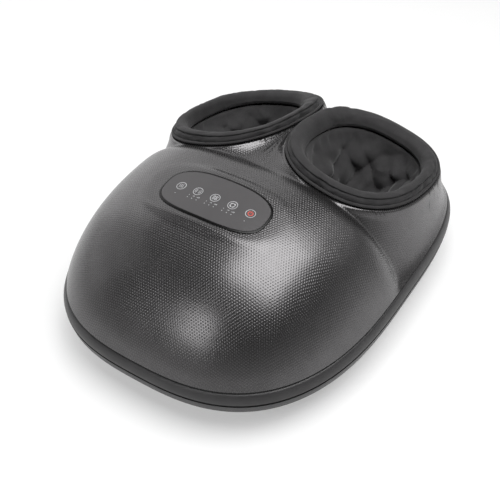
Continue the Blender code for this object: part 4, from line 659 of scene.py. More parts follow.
def make_top_cover():
    trim, holes, lips, loose = cover_plan()
    loops = [trim, *holes, *lips]
    kept = [point for loop in loops for point in loop]
    for points in loose:
        tree = plan_tree(kept)
        room = COVER_GRID * (GRID_ROOM_SHARE if points is loose[-1] else LOOP_ROOM_SHARE)
        for x, y in points:
            free = tree.find((x, y, 0.0))[2] >= room and in_loop(x, y, trim)
            if free and not any(in_loop(x, y, hole) for hole in holes):
                kept.append((x, y))
    edges = []
    hole_of = {}
    first = 0
    for number, loop in enumerate(loops):
        for i in range(len(loop)):
            edges.append((first + i, first + (i + 1) % len(loop)))
            if 0 < number <= len(holes):
                hole_of[first + i] = number
        first += len(loop)
    result = delaunay_2d_cdt([Vector(point) for point in kept], edges, [], 0, TINY / 10)
    points, triangles = result[0], result[2]
    bm = bmesh.new()
    outer, inner = [], []
    for point in points:
        top, bottom = cover_pair(point.x, point.y)
        outer.append(bm.verts.new(top))
        inner.append(bm.verts.new(bottom))
    rims = set()
    for triangle in triangles:
        if len({hole_of.get(i, -1 - i) for i in triangle}) == 1:
            continue
        bm.faces.new([outer[i] for i in triangle])
        bm.faces.new([inner[i] for i in reversed(triangle)])
        for i, j in zip(triangle, (*triangle[1:], triangle[0])):
            rims.symmetric_difference_update({(min(i, j), max(i, j))})
    for i, j in rims:
        bm.faces.new((outer[i], outer[j], inner[j], inner[i]))
    return finish_piece("textured_cover", bm, cover_plastic)


top_cover = make_top_cover()
dress_cover(top_cover)
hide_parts("top_cover")

# Control panel. A smooth plate in a black gasket frame that clips into the cover's hole, with five
# touch symbols printed on it.
BEZEL_DEPTH = 0.0045
BEZEL_LEDGE = 0.0022
LENS_THICKNESS = 0.0018
PANEL_RING_SHARES = (0.05, 0.3, 0.6, 0.85, 1.0)
gasket_black = grained_material("gasket_black", (0.003, 0.003, 0.003), 0.28)
set_shader(gasket_black, {"Specular IOR Level": 0.25})
panel_acrylic = grained_material("panel_acrylic", (0.056, 0.053, 0.055), 0.42, depth=0.000004, spread=0.03)


def panel_ring(inset, above, scale=1.0):
    plan = superellipse(PANEL_HALF_LENGTH - inset, PANEL_HALF_DEPTH - inset, PANEL_POWER, PANEL_STEPS)
    spots = [(x * scale, PANEL_Y + y * scale) for x, y in plan]
    return [Vector((x, y, panel_plane(x, y) + above)) for x, y in spots]


def make_gasket():
    sleeve = BEZEL_WIDTH - BEZEL_WALL
    inside = BEZEL_WIDTH + BEZEL_LEDGE
    under = SEAT_GAP * 2 - BEZEL_PROUD
    section = (
        (0.0, under),
        (BEZEL_WIDTH / 3, 0.0),
        (BEZEL_WIDTH, 0.0),
        (BEZEL_WIDTH, -LENS_THICKNESS),
        (inside, -LENS_THICKNESS),
        (inside, -BEZEL_DEPTH),
        (sleeve, -BEZEL_DEPTH),
        (sleeve, under),
    )
    bm = bmesh.new()
    skin_rings(bm, [panel_ring(*spot) for spot in section], wrap=True)
    return finish_piece("gasket_frame", bm, gasket_black)


def make_panel_plate():
    inset = BEZEL_WIDTH + SEAT_GAP
    low = SEAT_GAP - LENS_THICKNESS
    rings = [panel_ring(inset, low, share) for share in PANEL_RING_SHARES]
    rings += [panel_ring(inset, 0.0, share) for share in reversed(PANEL_RING_SHARES)]
    bm = bmesh.new()
    loops = skin_rings(bm, rings)
    bm.faces.new(loops[0])
    bm.faces.new(loops[-1])
    return finish_piece("panel_plate", bm, panel_acrylic)


gasket = make_gasket()
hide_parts("panel_bezel")
panel_plate = make_panel_plate()
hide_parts("panel_lens")

# The symbols are printed strokes: waves for heat, arcs for vibration, four leaves for air, a turning
# ring for kneading and a broken ring with a bar for power. Level dots stand in front of them.
MARK_SPACING = 0.0212
MARK_PLACES = [(number - 2) * MARK_SPACING for number in range(5)]
MARK_RADIUS = 0.0050
MARK_LINE = 0.00068
MARK_FORWARD = 0.0006
MARK_FLOAT = 0.00002
MARK_HEIGHT = 0.00008
RING_STEPS = 28
THIN_SHARE = 0.8
HEAT_STEPS = 12
HEAT_SPACING_SHARE = 0.36
HEAT_LENGTH_SHARE = 0.5
HEAT_SWAY_SHARE = 0.6
BUZZ_SHARES = (0.34, 0.62)
BUZZ_HALF_ANGLE = 60
SYMBOL_STEPS = 12
LEAF_PLACE_SHARE = 0.42
LEAF_SHARE = 0.2
KNEAD_SHARE = 0.5
KNEAD_LINE_SHARE = 1.9
KNEAD_STEPS = 10
KNEAD_GAP_ANGLE = 8
POWER_SHARE = 0.5
POWER_LINE_SHARES = (1.6, 1.4)
POWER_GAP_ANGLE = 25
POWER_STEPS = 24
POWER_BAR_SHARES = (0.05, 0.66)
LEVEL_STEP = 0.0055
LEVEL_DOT = 0.00055
LEVEL_DOT_LINE = 0.000495
LEVEL_DOT_STEPS = 8
LEVEL_DOT_AHEAD = 0.0112
LEVEL_BAR_AHEAD = 0.0082
LEVEL_BAR_SHARES = (1.2, 0.6, 1.7)
mark_ink = grained_material("mark_ink", (0.42, 0.42, 0.43), 0.5)
power_ink = grained_material("power_ink", (0.50, 0.075, 0.055), 0.5)


def print_stroke(bm, spots, line, closed=False):
    """Print one line of ink on the panel, along plan points measured from the panel's middle."""
    count = len(spots)
    rings = []
    for i, spot in enumerate(spots):
        before = spots[i - 1] if i or closed else spot
        after = spots[(i + 1) % count] if i + 1 < count or closed else spot
        way = Vector((after[0] - before[0], after[1] - before[1])).normalized()
        side = Vector((-way.y, way.x)) * line / 2
        ring = []
        for sign, above in ((1, MARK_FLOAT), (1, MARK_HEIGHT), (-1, MARK_HEIGHT), (-1, MARK_FLOAT)):
            x = spot[0] + sign * side.x
            y = PANEL_Y + MARK_FORWARD + spot[1] + sign * side.y
            ring.append((x, y, panel_plane(x, y) + above))
        rings.append(ring)
    loops = skin_rings(bm, rings, wrap=closed)
    if not closed:
        bm.faces.new(loops[0])
        bm.faces.new(loops[-1])


def arc_spots(x, y, radius, start, end, steps):
    """Plan points of an arc, with its start and end in degrees."""
    turns = [math.radians(start + (end - start) * i / steps) for i in range(steps + 1)]
    return [(x + radius * math.cos(turn), y + radius * math.sin(turn)) for turn in turns]


def print_circle(bm, x, y, radius, line, steps):
    print_stroke(bm, arc_spots(x, y, radius, 0, 360, steps)[:-1], line, closed=True)


def print_heat_symbol(bm, x):
    for place in (-1, 0, 1):
        wave = []
        for i in range(HEAT_STEPS + 1):
            along = (2 * i / HEAT_STEPS - 1) * MARK_RADIUS * HEAT_LENGTH_SHARE
            sway = math.sin(i / HEAT_STEPS * 2 * math.pi) * MARK_LINE * HEAT_SWAY_SHARE
            wave.append((x + place * MARK_RADIUS * HEAT_SPACING_SHARE + sway, along))
        print_stroke(bm, wave, MARK_LINE * THIN_SHARE)


def print_vibration_symbol(bm, x):
    for share in BUZZ_SHARES:
        for middle in (0, 180):
            ends = (middle - BUZZ_HALF_ANGLE, middle + BUZZ_HALF_ANGLE)
            arc = arc_spots(x, 0.0, MARK_RADIUS * share, *ends, SYMBOL_STEPS)
            print_stroke(bm, arc, MARK_LINE * THIN_SHARE)


def print_air_symbol(bm, x):
    for number in range(4):
        turn = math.radians(45 + 90 * number)
        leaf_x = x + MARK_RADIUS * LEAF_PLACE_SHARE * math.cos(turn)
        leaf_y = MARK_RADIUS * LEAF_PLACE_SHARE * math.sin(turn)
        print_circle(bm, leaf_x, leaf_y, MARK_RADIUS * LEAF_SHARE, MARK_LINE, SYMBOL_STEPS)


def print_knead_symbol(bm, x):
    for number in range(4):
        start = 90 * number + KNEAD_GAP_ANGLE
        end = 90 * (number + 1) - KNEAD_GAP_ANGLE
        arc = arc_spots(x, 0.0, MARK_RADIUS * KNEAD_SHARE, start, end, KNEAD_STEPS)
        print_stroke(bm, arc, MARK_LINE * KNEAD_LINE_SHARE)


def print_level_dot(bm, x):
    print_circle(bm, x, -LEVEL_DOT_AHEAD, LEVEL_DOT / 2, LEVEL_DOT_LINE, LEVEL_DOT_STEPS)


def print_levels(bm, x):
    """Three level dots, with a bar behind each that grows from low to high."""
    low, growth, spacing = (MARK_LINE * share for share in LEVEL_BAR_SHARES)
    for number in (-1, 0, 1):
        spot = x + number * LEVEL_STEP
        print_level_dot(bm, spot)
        for bar in range(number + 2):
            bar_x = spot + (bar - (number + 1) / 2) * spacing
            tall = low + growth * bar
            print_stroke(bm, [(bar_x, -LEVEL_BAR_AHEAD), (bar_x, tall - LEVEL_BAR_AHEAD)], MARK_LINE)


def make_marks():
    bm = bmesh.new()
    symbols = (print_heat_symbol, print_vibration_symbol, print_air_symbol, print_knead_symbol)
    for x in MARK_PLACES:
        print_circle(bm, x, 0.0, MARK_RADIUS, MARK_LINE, RING_STEPS)
    for x, symbol in zip(MARK_PLACES, symbols):
        symbol(bm, x)
    for x in MARK_PLACES[1:-1]:
        print_levels(bm, x)
    print_level_dot(bm, MARK_PLACES[0])
    print_level_dot(bm, MARK_PLACES[-1])
    return finish_piece("panel_symbols", bm, mark_ink)


def make_power_mark():
    bm = bmesh.new()
    x = MARK_PLACES[-1]
    ring_line, bar_line = (MARK_LINE * share for share in POWER_LINE_SHARES)
    low, high = (MARK_RADIUS * share for share in POWER_BAR_SHARES)
    ends = (90 + POWER_GAP_ANGLE, 450 - POWER_GAP_ANGLE)
    print_stroke(bm, arc_spots(x, 0.0, MARK_RADIUS * POWER_SHARE, *ends, POWER_STEPS), ring_line)
    print_stroke(bm, [(x, low), (x, high)], bar_line)
    return finish_piece("power_symbol", bm, power_ink)


panel_marks = make_marks()
power_mark = make_power_mark()

# Collars. A padded roll of brushed polyester over foam round each opening: a smooth top band, a seam
# on its outer shoulder, a side panel below it, and a piping sewn in at its lower edge.
PAD_HEIGHT = 0.0135
PAD_TUCK = 0.006
PIPING_RADIUS = 0.0016
COLLAR_TOP_SHARES = (
    (0.000, 0.10), (0.003, 0.24), (0.010, 0.38), (0.022, 0.51), (0.040, 0.62), (0.062, 0.71),
    (0.088, 0.775), (0.112, 0.800), (0.138, 0.745), (0.164, 0.850), (0.195, 0.915), (0.240, 0.960),
    (0.300, 0.990), (0.380, 1.010), (0.470, 1.015), (0.560, 1.000), (0.650, 0.970), (0.730, 0.920),
    (0.800, 0.845), (0.860, 0.750), (0.910, 0.630), (0.950, 0.480), (0.980, 0.300),
)
COLLAR_SEAM_RING = 8
ROLL_SHARE = 0.91
COLLAR_INNER_SHARES = (
    (0.996, -0.02), (0.998, -0.12), (0.998, -0.22), (0.996, -0.32), (0.992, -0.42), (0.985, -0.52),
    (0.975, -0.62),
)
RIB_DEPTH_SHARE = 0.05
COLLAR_INNER_ROOM_SHARE = 0.12
COLLAR_CREASES = (
    (0.62, 0.05), (0.95, 0.07), (1.30, 0.05), (2.35, 0.06), (2.72, 0.04), (4.10, 0.03),
    (5.25, 0.04),
)
CREASE_WIDTH_ANGLE = 0.045
CREASE_SLANT_ANGLE = 0.10
ROLL_WAVES = ((3, 0.020, 1), (7, 0.014, 2))
REAR_DROP_SHARE = 0.26
REAR_DROP_SPAN = (0.35, 0.95)
RIB_SPAN = (0.2, 0.5)
SEAM_FADE_SHARE = 0.5
PIPING_STEPS = 8
CLOTH_QUALITY = 6
CLOTH_MASS = 0.15
CLOTH_STIFFNESS = 12
CLOTH_BENDING = 0.3
PUFF_PRESSURE = 2.0
PUFF_GROWTH = 0.03
PUFF_FRAMES = 20
PUFF_CAP = 0.0012
FIBRE_SHARE = 0.7
BROAD_SCALE = 70.0
WEAVE_SHARE = -0.6
SHADE_SPAN = (0.4, 1.1)
# Near-black painted shade along the stitched seam crease.
SEAM_SHADE = (0.003, 0.003, 0.003, 1.0)


def fabric_group():
    """Brushed knit: fine fibres over a close weave. Puts out a shade and a height, both 0 to 1. The shade
    is a broad random tone plus painted shade, darker in the low spots between the threads.
    """
    sockets = (("Place", "Thread Scale"), ("Shade", "Height"))
    group, inlet, outlet = new_group("brushed_knit", *sockets)
    place, scale = inlet["Place"], inlet["Thread Scale"]
    threads = add_node(group, "TexVoronoi", {"Vector": place, "Scale": scale})
    values = {"Vector": place, "Scale": scale, "Detail": 4.0, "Roughness": FIBRE_SHARE}
    fibres = add_node(group, "TexNoise", values)
    broad = add_node(group, "TexNoise", {"Vector": place, "Scale": BROAD_SCALE, "Detail": 3.0})
    terms = (threads.outputs["Distance"], WEAVE_SHARE, fibres.outputs["Fac"])
    height = add_math(group, "MULTIPLY_ADD", *terms)
    # The colour follows the height: painted shade in the low spots between the threads, over a broad
    # random tone.
    shade = add_math(group, "ADD", broad.outputs["Fac"], height)
    feed(group, outlet, {"Height": height, "Shade": add_range(group, shade, SHADE_SPAN, smooth=False)})
    return group


brushed_knit = fabric_group()


def cloth_material(name, colour, thread, depth, spread, sheen):
    """A matt fabric. A point attribute named seam paints shade along the stitched lines."""
    material = plain_material(name, colour, 0.92)
    tree = material.node_tree
    set_shader(material, {"Sheen Weight": sheen, "Sheen Roughness": 0.4, "Specular IOR Level": 0.2})
    values = {"Place": object_place(material), "Thread Scale": 1 / thread}
    knit = add_group(tree, brushed_knit, values)
    tint = vary_colour(material, knit["Shade"], colour, spread)
    set_shader(material, {"Base Color": add_mix(tree, point_value(material, "seam"), tint, SEAM_SHADE)})
    raise_bump(material, knit["Height"], depth)
    return material


collar_cloth = cloth_material("collar_cloth", (0.038, 0.037, 0.038), 0.0007, 0.00012, 0.22, 0.12)


def collar_ring(towards_mouth, above, side):
    ring = []
    for angle in COLLAR_TURNS:
        x, y = collar_point(side * angle, towards_mouth, side)
        ring.append(Vector((x, y, collar_plane(x, y) + above)))
    return ring


def collar_fullness(angle, ring_share, phase):
    """How full the roll is at an angle: slow waves, and short creases where the cloth gathers."""
    fullness = 1.0
    for count, share, shift in ROLL_WAVES:
        fullness += share * math.sin(count * angle + shift * phase)
    fullness -= REAR_DROP_SHARE * smooth_step(*REAR_DROP_SPAN, math.sin(angle))
    for place, depth in COLLAR_CREASES:
        slant = CREASE_SLANT_ANGLE * (ring_share - 0.5)
        off = (angle - place + slant + math.pi) % (2 * math.pi) - math.pi
        fullness -= depth * math.exp(-((off / CREASE_WIDTH_ANGLE) ** 2))
    return fullness


def mark_seam_shade(piece, ring, count):
    """Mark one ring of points for the painted seam shade, fading to the rings beside it."""
    seam = piece.data.attributes.new("seam", "FLOAT", "POINT")
    for i in range(len(piece.data.vertices)):
        seam.data[i].value = max(0.0, 1 - abs(i // count - ring) * SEAM_FADE_SHARE)


def simulate_cloth(piece, pinned, growth, pressure, gravity, cap, frames):
    """Let the cloth settle between its sewn lines, with no point moved further than the cap."""
    sewn = piece.vertex_groups.new(name="sewn")
    sewn.add(pinned, 1.0, "REPLACE")
    cloth = piece.modifiers.new("cloth", "CLOTH")
    cloth.settings.quality = CLOTH_QUALITY
    cloth.settings.mass = CLOTH_MASS
    cloth.settings.tension_stiffness = CLOTH_STIFFNESS
    cloth.settings.compression_stiffness = CLOTH_STIFFNESS
    cloth.settings.bending_stiffness = CLOTH_BENDING
    cloth.settings.vertex_group_mass = "sewn"
    cloth.settings.shrink_min = -growth
    cloth.settings.use_pressure = pressure > 0
    cloth.settings.uniform_pressure_force = pressure
    cloth.settings.effector_weights.gravity = gravity
    cloth.point_cache.frame_start = 1
    cloth.point_cache.frame_end = frames
    for number in range(1, frames + 1):
        bpy.context.scene.frame_set(number)
    settled = piece.evaluated_get(bpy.context.evaluated_depsgraph_get()).data
    moves = [after.co - before.co for after, before in zip(settled.vertices, piece.data.vertices)]
    piece.modifiers.remove(cloth)
    piece.vertex_groups.remove(sewn)
    bpy.context.scene.frame_set(1)
    return [move * min(1.0, cap / max(move.length, TINY)) for move in moves]


def puff(piece, pinned, growth, cap, frames):
    """Fill a padded piece between its sewn lines."""
    moves = simulate_cloth(piece, pinned, growth, PUFF_PRESSURE, 0.0, cap, frames)
    for vert, move in zip(piece.data.vertices, moves):
        vert.co += move


def make_collar(word, side):
    edge = (2 * PIPING_RADIUS + SEAT_GAP) / (COLLAR_HALF_WIDTH - MOUTH_HALF_WIDTH)
    seat = SEAT_GAP * 3
    inner = COVER_HOLE_SHARE + COLLAR_INNER_ROOM_SHARE
    rings = [collar_ring(edge, seat, side)]
    for across, up in COLLAR_TOP_SHARES:
        ring = collar_ring(edge + across * (ROLL_SHARE - edge), 0.0, side)
        for angle, point in zip(COLLAR_TURNS, ring):
            point.z += PAD_HEIGHT * up * collar_fullness(side * angle, across, side)
        rings.append(ring)
    for number, (across, down) in enumerate(COLLAR_INNER_SHARES):
        rib = RIB_DEPTH_SHARE * (number % 2)
        ring = collar_ring(across * ROLL_SHARE, PAD_TUCK * down, side)
        ribbed = collar_ring(across * ROLL_SHARE - rib, PAD_TUCK * down, side)
        for angle, point, sunk in zip(COLLAR_TURNS, ring, ribbed):
            point.xyz = point.lerp(sunk, smooth_step(*RIB_SPAN, math.sin(side * angle)))
        rings.append(ring)
    rings += [collar_ring(inner, -PAD_TUCK, side), collar_ring(inner, seat, side)]
    bm = bmesh.new()
    skin_rings(bm, rings, wrap=True)
    collar = finish_piece(f"collar_roll_{word}", bm, collar_cloth)
    seam = COLLAR_SEAM_RING + 1
    # Paint shade along the seam ring of the roll.
    mark_seam_shade(collar, seam, COLLAR_STEPS)
    loose = [*range(2, seam), *range(seam + 1, len(COLLAR_TOP_SHARES) + 1)]
    pinned = [i for i in range(len(collar.data.vertices)) if i // COLLAR_STEPS not in loose]
    puff(collar, pinned, PUFF_GROWTH, PUFF_CAP, PUFF_FRAMES)
    return collar


def make_piping(word, side):
    share = PIPING_RADIUS / (COLLAR_HALF_WIDTH - MOUTH_HALF_WIDTH)
    middle = SEAT_GAP * 3 + PIPING_RADIUS
    rings = []
    for i in range(PIPING_STEPS):
        turn = 2 * math.pi * i / PIPING_STEPS
        above = middle + PIPING_RADIUS * math.sin(turn)
        rings.append(collar_ring(share * (1 + math.cos(turn)), above, side))
    bm = bmesh.new()
    skin_rings(bm, rings, wrap=True)
    return finish_piece(f"piping_{word}", bm, collar_cloth)


for word, side in (("left", 1), ("right", -1)):
    collar = make_collar(word, side)
    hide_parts(f"collar_pad_{word}")
    piping = make_piping(word, side)
    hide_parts(f"collar_piping_{word}")

# Foot liners. A bag of thin black stretch cloth, cut larger than the well it lines, is sewn in at the
# mouth. It hangs in soft folds down the well and lies on the foot bed as far as the toes.
LINER_STEPS = 144
LINER_RINGS = 56
LINER_THICKNESS = 0.0008
SOLE_Z = 0.0626
SOLE_ROOM = 0.0012
LINER_FOLDS = 5
LINER_FOLD_SHARE = 0.03
LINER_TOE_MARGIN = 0.082
LINER_TOE_Y = TOE_END_Y + LINER_TOE_MARGIN
LINER_TOE_Z = 0.098
# Per row from the mouth down: front forward, front down, heel forward, heel height, width, slope, fold.
LINER_SHARES = (
    (0.00, 0.00, 0.00, 1.00, 1.07, 1.0, 0.0),
    (0.01, 0.10, 0.01, 0.72, 1.00, 0.9, 0.3),
    (0.04, 0.21, 0.02, 0.34, 0.94, 0.6, 0.9),
    (0.12, 0.31, 0.09, 0.06, 0.90, 0.3, 1.0),
    (0.27, 0.41, 0.29, 0.00, 0.87, 0.1, 0.8),
    (0.46, 0.52, 0.50, 0.00, 0.86, 0.0, 0.6),
    (0.66, 0.66, 0.69, 0.00, 0.84, 0.0, 0.4),
    (0.86, 0.84, 0.87, 0.00, 0.75, 0.0, 0.2),
    (0.97, 1.02, 0.97, 0.08, 0.52, 0.0, 0.0),
)
FOLD_DEPTH = 0.027
# Each wave: how many folds go round, their share, their drift down the well, where they start.
FOLD_WAVES = (
    (3, 0.30, 2.2, 0.4),
    (7, 0.42, -3.0, 2.1),
    (12, 0.24, 3.6, 1.0),
    (19, 0.06, -5.0, 0.0),
)
FOLD_FULLNESS = 0.8
FOLD_REACH_SHARE = 0.5
FOLD_START_ROWS = 1.7
FOLD_END_ROWS = (4.6, 7.4)
SEWN_RINGS = 2
HELD_RING = LINER_RINGS * 3 // 4
DRAPE_GRAVITY_SHARE = 0.4
DRAPE_GROWTH = 0.08
DRAPE_CAP = 0.005
DRAPE_FRAMES = 24
liner_cloth = cloth_material("liner_cloth", (0.040, 0.039, 0.040), 0.0006, 0.00006, 0.25, 0.25)


def liner_ring(place, side):
    """A ring of the bag at a place between the rings of its shape table, counted from the mouth."""
    numbers = range(len(LINER_SHARES))
    ahead, drop, back, lift, width, slope, depth = (
        float(np.interp(place, numbers, column)) for column in zip(*LINER_SHARES)
    )
    mouth_y = COLLAR_Y + MOUTH_SHIFT_Y
    half = MOUTH_HALF_LENGTH * LINER_SHARES[0][4]
    top_y = mouth_y - half
    heel_y = mouth_y + half
    under = -PAD_TUCK - SEAT_GAP * 3
    top_z = collar_plane(COLLAR_X, top_y) + under
    heel_z = collar_plane(COLLAR_X, heel_y) + under
    front = Vector((top_y + (LINER_TOE_Y - top_y) * ahead, top_z + (LINER_TOE_Z - top_z) * drop))
    heel = Vector((heel_y + (LINER_TOE_Y - heel_y) * back, SOLE_Z + (heel_z - SOLE_Z) * lift))
    middle = (front + heel) / 2
    reach = (heel - front) / 2
    ring = []
    for i in range(LINER_STEPS):
        angle = 2 * math.pi * i / LINER_STEPS
        fold = depth * LINER_FOLD_SHARE * (1 + math.sin(LINER_FOLDS * angle + place))
        across = MOUTH_HALF_WIDTH * (width - fold)
        c, s = oval_point(angle, COLLAR_POWER)
        x = COLLAR_X + MOUTH_SHIFT_X + across * c
        y, z = middle + reach * s
        z += slope * (collar_plane(x, y) - collar_plane(COLLAR_X, y))
        ring.append(Vector((side * x, y, z)))
    return ring


def fold_ring(ring, place, side):
    """Draw the cloth inwards in puffed folds with sharp valleys that wander as they run down the well."""
    middle = sum(ring, Vector()) / len(ring)
    hang = min(place / FOLD_START_ROWS, 1.0) * (1 - smooth_step(*FOLD_END_ROWS, place))
    folded = []
    for i, point in enumerate(ring):
        angle = 2 * math.pi * i / LINER_STEPS
        pull = 0.0
        for count, share, drift, start in FOLD_WAVES:
            wave = math.sin((count * angle + drift * place) / 2 + start * side)
            pull += share * abs(wave) ** FOLD_FULLNESS
        inward = middle - point
        depth = min(FOLD_DEPTH * hang * pull, inward.length * FOLD_REACH_SHARE)
        folded.append(point + inward.normalized() * depth)
    return folded


def soften(piece, numbers):
    """Even out small kinks in a settled cloth."""
    bm = bmesh.new()
    bm.from_mesh(piece.data)
    bm.verts.ensure_lookup_table()
    chosen = [bm.verts[i] for i in numbers]
    axes = {"use_axis_x": True, "use_axis_y": True, "use_axis_z": True}
    bmesh.ops.smooth_vert(bm, verts=chosen, factor=0.5, **axes)
    bm.to_mesh(piece.data)
    bm.free()


def close_ring(bm, loop):
    """Close a ring with a fan of faces round its middle."""
    middle = bm.verts.new(sum((vert.co for vert in loop), Vector()) / len(loop))
    for i, vert in enumerate(loop):
        bm.faces.new((vert, loop[(i + 1) % len(loop)], middle))


def make_liner(word, side):
    places = np.linspace(0.0, len(LINER_SHARES) - 1, LINER_RINGS)
    shape = [liner_ring(float(place), side) for place in places]
    folded = [fold_ring(ring, float(place), side) for ring, place in zip(shape, places)]
    bm = bmesh.new()
    close_ring(bm, skin_rings(bm, folded)[-1])
    liner = finish_piece(f"stretch_liner_{word}", bm, liner_cloth)
    rows = [i // LINER_STEPS for i in range(len(liner.data.vertices))]
    pinned = [i for i, row in enumerate(rows) if row < SEWN_RINGS or row > HELD_RING]
    settling = (DRAPE_GROWTH, 0.0, DRAPE_GRAVITY_SHARE, DRAPE_CAP, DRAPE_FRAMES)
    moves = simulate_cloth(liner, pinned, *settling)
    middles = [sum(ring, Vector()) / LINER_STEPS for ring in shape]
    for i, (vert, move) in enumerate(zip(liner.data.vertices, moves)):
        row = i // LINER_STEPS
        if row < LINER_RINGS:
            skin = shape[row][i % LINER_STEPS]
            inward = (middles[row] - skin).normalized()
            spot = vert.co + move
            outside = (skin - spot).dot(inward)
            spot += inward * max(outside, 0.0)
            spot.z = max(spot.z, min(SOLE_Z + SOLE_ROOM, skin.z))
            vert.co = spot
    soften(liner, range(SEWN_RINGS * LINER_STEPS, LINER_RINGS * LINER_STEPS))
    skin = liner.modifiers.new("cloth_thickness", "SOLIDIFY")
    skin.thickness = LINER_THICKNESS
    skin.offset = -1.0
    return liner


for word, side in (("left", 1), ("right", -1)):
    liner = make_liner(word, side)
    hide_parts(f"foot_liner_{word}")

# Instep pads. Under each air bag lies a foam pad in the same brushed cloth, which the filling bag
# presses down on the instep. The bags are thin black rubber, welded round their edges.
AIRBAG_THICKNESS = 0.008
AIRBAG_GAP = 0.0014
PAD_THICKNESS = 0.005
INSTEP_AHEAD = 0.175
INSTEP_INSIDE = 0.0045
INSTEP_Y = COLLAR_Y - INSTEP_AHEAD
INSTEP_X = COLLAR_X - INSTEP_INSIDE
INSTEP_HALF_WIDTH = 0.025
INSTEP_HALF_LENGTH = 0.033
INSTEP_POWER = 3.2
INSTEP_STEPS = 64
INSTEP_PAD_SHARES = (
    (0.15, 0.97), (0.40, 0.97), (0.65, 0.94), (0.82, 0.87), (0.92, 0.76), (0.98, 0.62),
    (1.00, 0.50), (0.98, 0.38), (0.92, 0.24), (0.82, 0.13), (0.65, 0.06), (0.40, 0.03),
    (0.15, 0.03),
)
INSTEP_SEAM_RING = 6
INSTEP_PUFF_CAP = 0.0004
INSTEP_PUFF_GROWTH = 0.02
INSTEP_PUFF_FRAMES = 10


def dress(material, *names):
    """Give CAD nodes a finished material."""
    for name in names:
        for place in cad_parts[name].material_slots:
            place.material = material


def dress_grained(name, nodes, colour, roughness, metallic=0.0, **look):
    dress(grained_material(name, colour, roughness, metallic, **look), *nodes)


def pair(*stems):
    return [f"{stem}_{word}" for stem in stems for word in ("left", "right")]


def cover_inner_height(x, y):
    """Inner surface of the top cover over a point."""
    reach = math.hypot(x, y - CREST_Y) / dome_share(x, y)
    grow = 1 / (1 - COVER_WALL / reach)
    return cover_height(x * grow, CREST_Y + (y - CREST_Y) * grow) - COVER_ROOF


def make_instep_pad(word, side):
    plan = superellipse(INSTEP_HALF_WIDTH, INSTEP_HALF_LENGTH, INSTEP_POWER, INSTEP_STEPS)
    above = 2 * AIRBAG_GAP + AIRBAG_THICKNESS
    rings = []
    for share, down in INSTEP_PAD_SHARES:
        spots = [(side * INSTEP_X + x * share, INSTEP_Y + y * share) for x, y in plan]
        drop = above + PAD_THICKNESS * down
        rings.append([Vector((x, y, cover_inner_height(x, y) - drop)) for x, y in spots])
    bm = bmesh.new()
    loops = skin_rings(bm, rings)
    close_ring(bm, loops[0])
    close_ring(bm, loops[-1])
    pad = finish_piece(f"instep_cushion_{word}", bm, collar_cloth, f"instep_{word}")
    # Paint shade along the pad's seam ring.
    mark_seam_shade(pad, INSTEP_SEAM_RING, INSTEP_STEPS)
    sewn = [INSTEP_SEAM_RING * INSTEP_STEPS + i for i in range(INSTEP_STEPS)]
    puff(pad, sewn, INSTEP_PUFF_GROWTH, INSTEP_PUFF_CAP, INSTEP_PUFF_FRAMES)
    return pad


for word, side in (("left", 1), ("right", -1)):
    pad = make_instep_pad(word, side)
    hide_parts(f"instep_pad_{word}")
dress_grained("bag_rubber", pair("airbag"), (0.018, 0.018, 0.018), 0.55, grain=0.0009, depth=0.00004)

# Foot beds. A grey moulded sole plate under each foot, with an opening over its two kneading discs. In
# front of the heel an amber polyimide film with an etched zigzag track is bonded to it.
TRACK_WIDTH = 0.0015
TRACK_LENGTH = 0.012
TRACK_BLUR = 0.2
TRACK_DEPTH = 0.00004
TRACK_POLISH_SHARE = 0.8


def track_group():
    """Etched conductor tracks in rows. Puts out 1 on a track and 0 between the tracks."""
    group, inlet, outlet = new_group("etched_tracks", ("Place",), ("Track",))
    values = {
        "Vector": inlet["Place"],
        "Scale": 1.0,
        "Brick Width": TRACK_LENGTH,
        "Row Height": TRACK_WIDTH * 2,
        "Mortar Size": TRACK_WIDTH / 3,
        "Mortar Smooth": TRACK_BLUR,
    }
    feed(group, outlet, {"Track": add_node(group, "TexBrick", values).outputs["Fac"]})
    return group


etched_tracks = track_group()


def dress_tracked(name, nodes, ground, track, roughness):
    """A flat board or film with etched tracks under its lacquer."""
    material = plain_material(name, ground, roughness)
    tree = material.node_tree
    rows = add_group(tree, etched_tracks, {"Place": object_place(material)})["Track"]
    set_shader(material, {"Base Color": add_mix(tree, rows, (*ground, 1.0), (*track, 1.0))})
    vary_roughness(material, rows, roughness, roughness * TRACK_POLISH_SHARE)
    raise_bump(material, rows, TRACK_DEPTH)
    dress(material, *nodes)


dress_grained(
    "bed_plastic", pair("foot_bed"), (0.33, 0.34, 0.35), 0.5, grain=0.0006, depth=0.00003, spread=0.05
)
dress_tracked("heater_film", pair("heater_film"), (0.50, 0.24, 0.06), (0.30, 0.11, 0.03), 0.3)

# Kneading discs. Grey acetal discs with round nodes, two under each sole. The turning nodes are rubbed
# smooth by the cloth of the liner.
discs = pair("kneading_disc_heel", "kneading_disc_toe")
dress_grained("disc_plastic", discs, (0.36, 0.37, 0.38), 0.32, grain=0.0012, spread=0.04)

# Drive. One double-ended motor lies across the middle in a moulded cradle. Its case is drawn steel with
# a zinc finish, and its ground steel shaft carries a turned brass worm at each end.
ROLLED = {"grain": 0.0012, "spread": 0.06, "stretch": (1, 8, 8)}
TURNED = {"grain": 0.004, "stretch": (14, 1, 1)}
dress_grained("case_steel", ["motor_case"], (0.50, 0.51, 0.53), 0.30, 1.0, **ROLLED)
dress_grained("shaft_steel", ["motor_rotor"], (0.55, 0.56, 0.58), 0.22, 1.0, spread=0.04, **TURNED)
dress_grained("worm_brass", pair("worm"), (0.62, 0.43, 0.17), 0.26, 1.0, spread=0.06, **TURNED)
dress_grained("cradle_plastic", ["motor_cradle"], (0.30, 0.31, 0.32), 0.5, depth=0.00003)

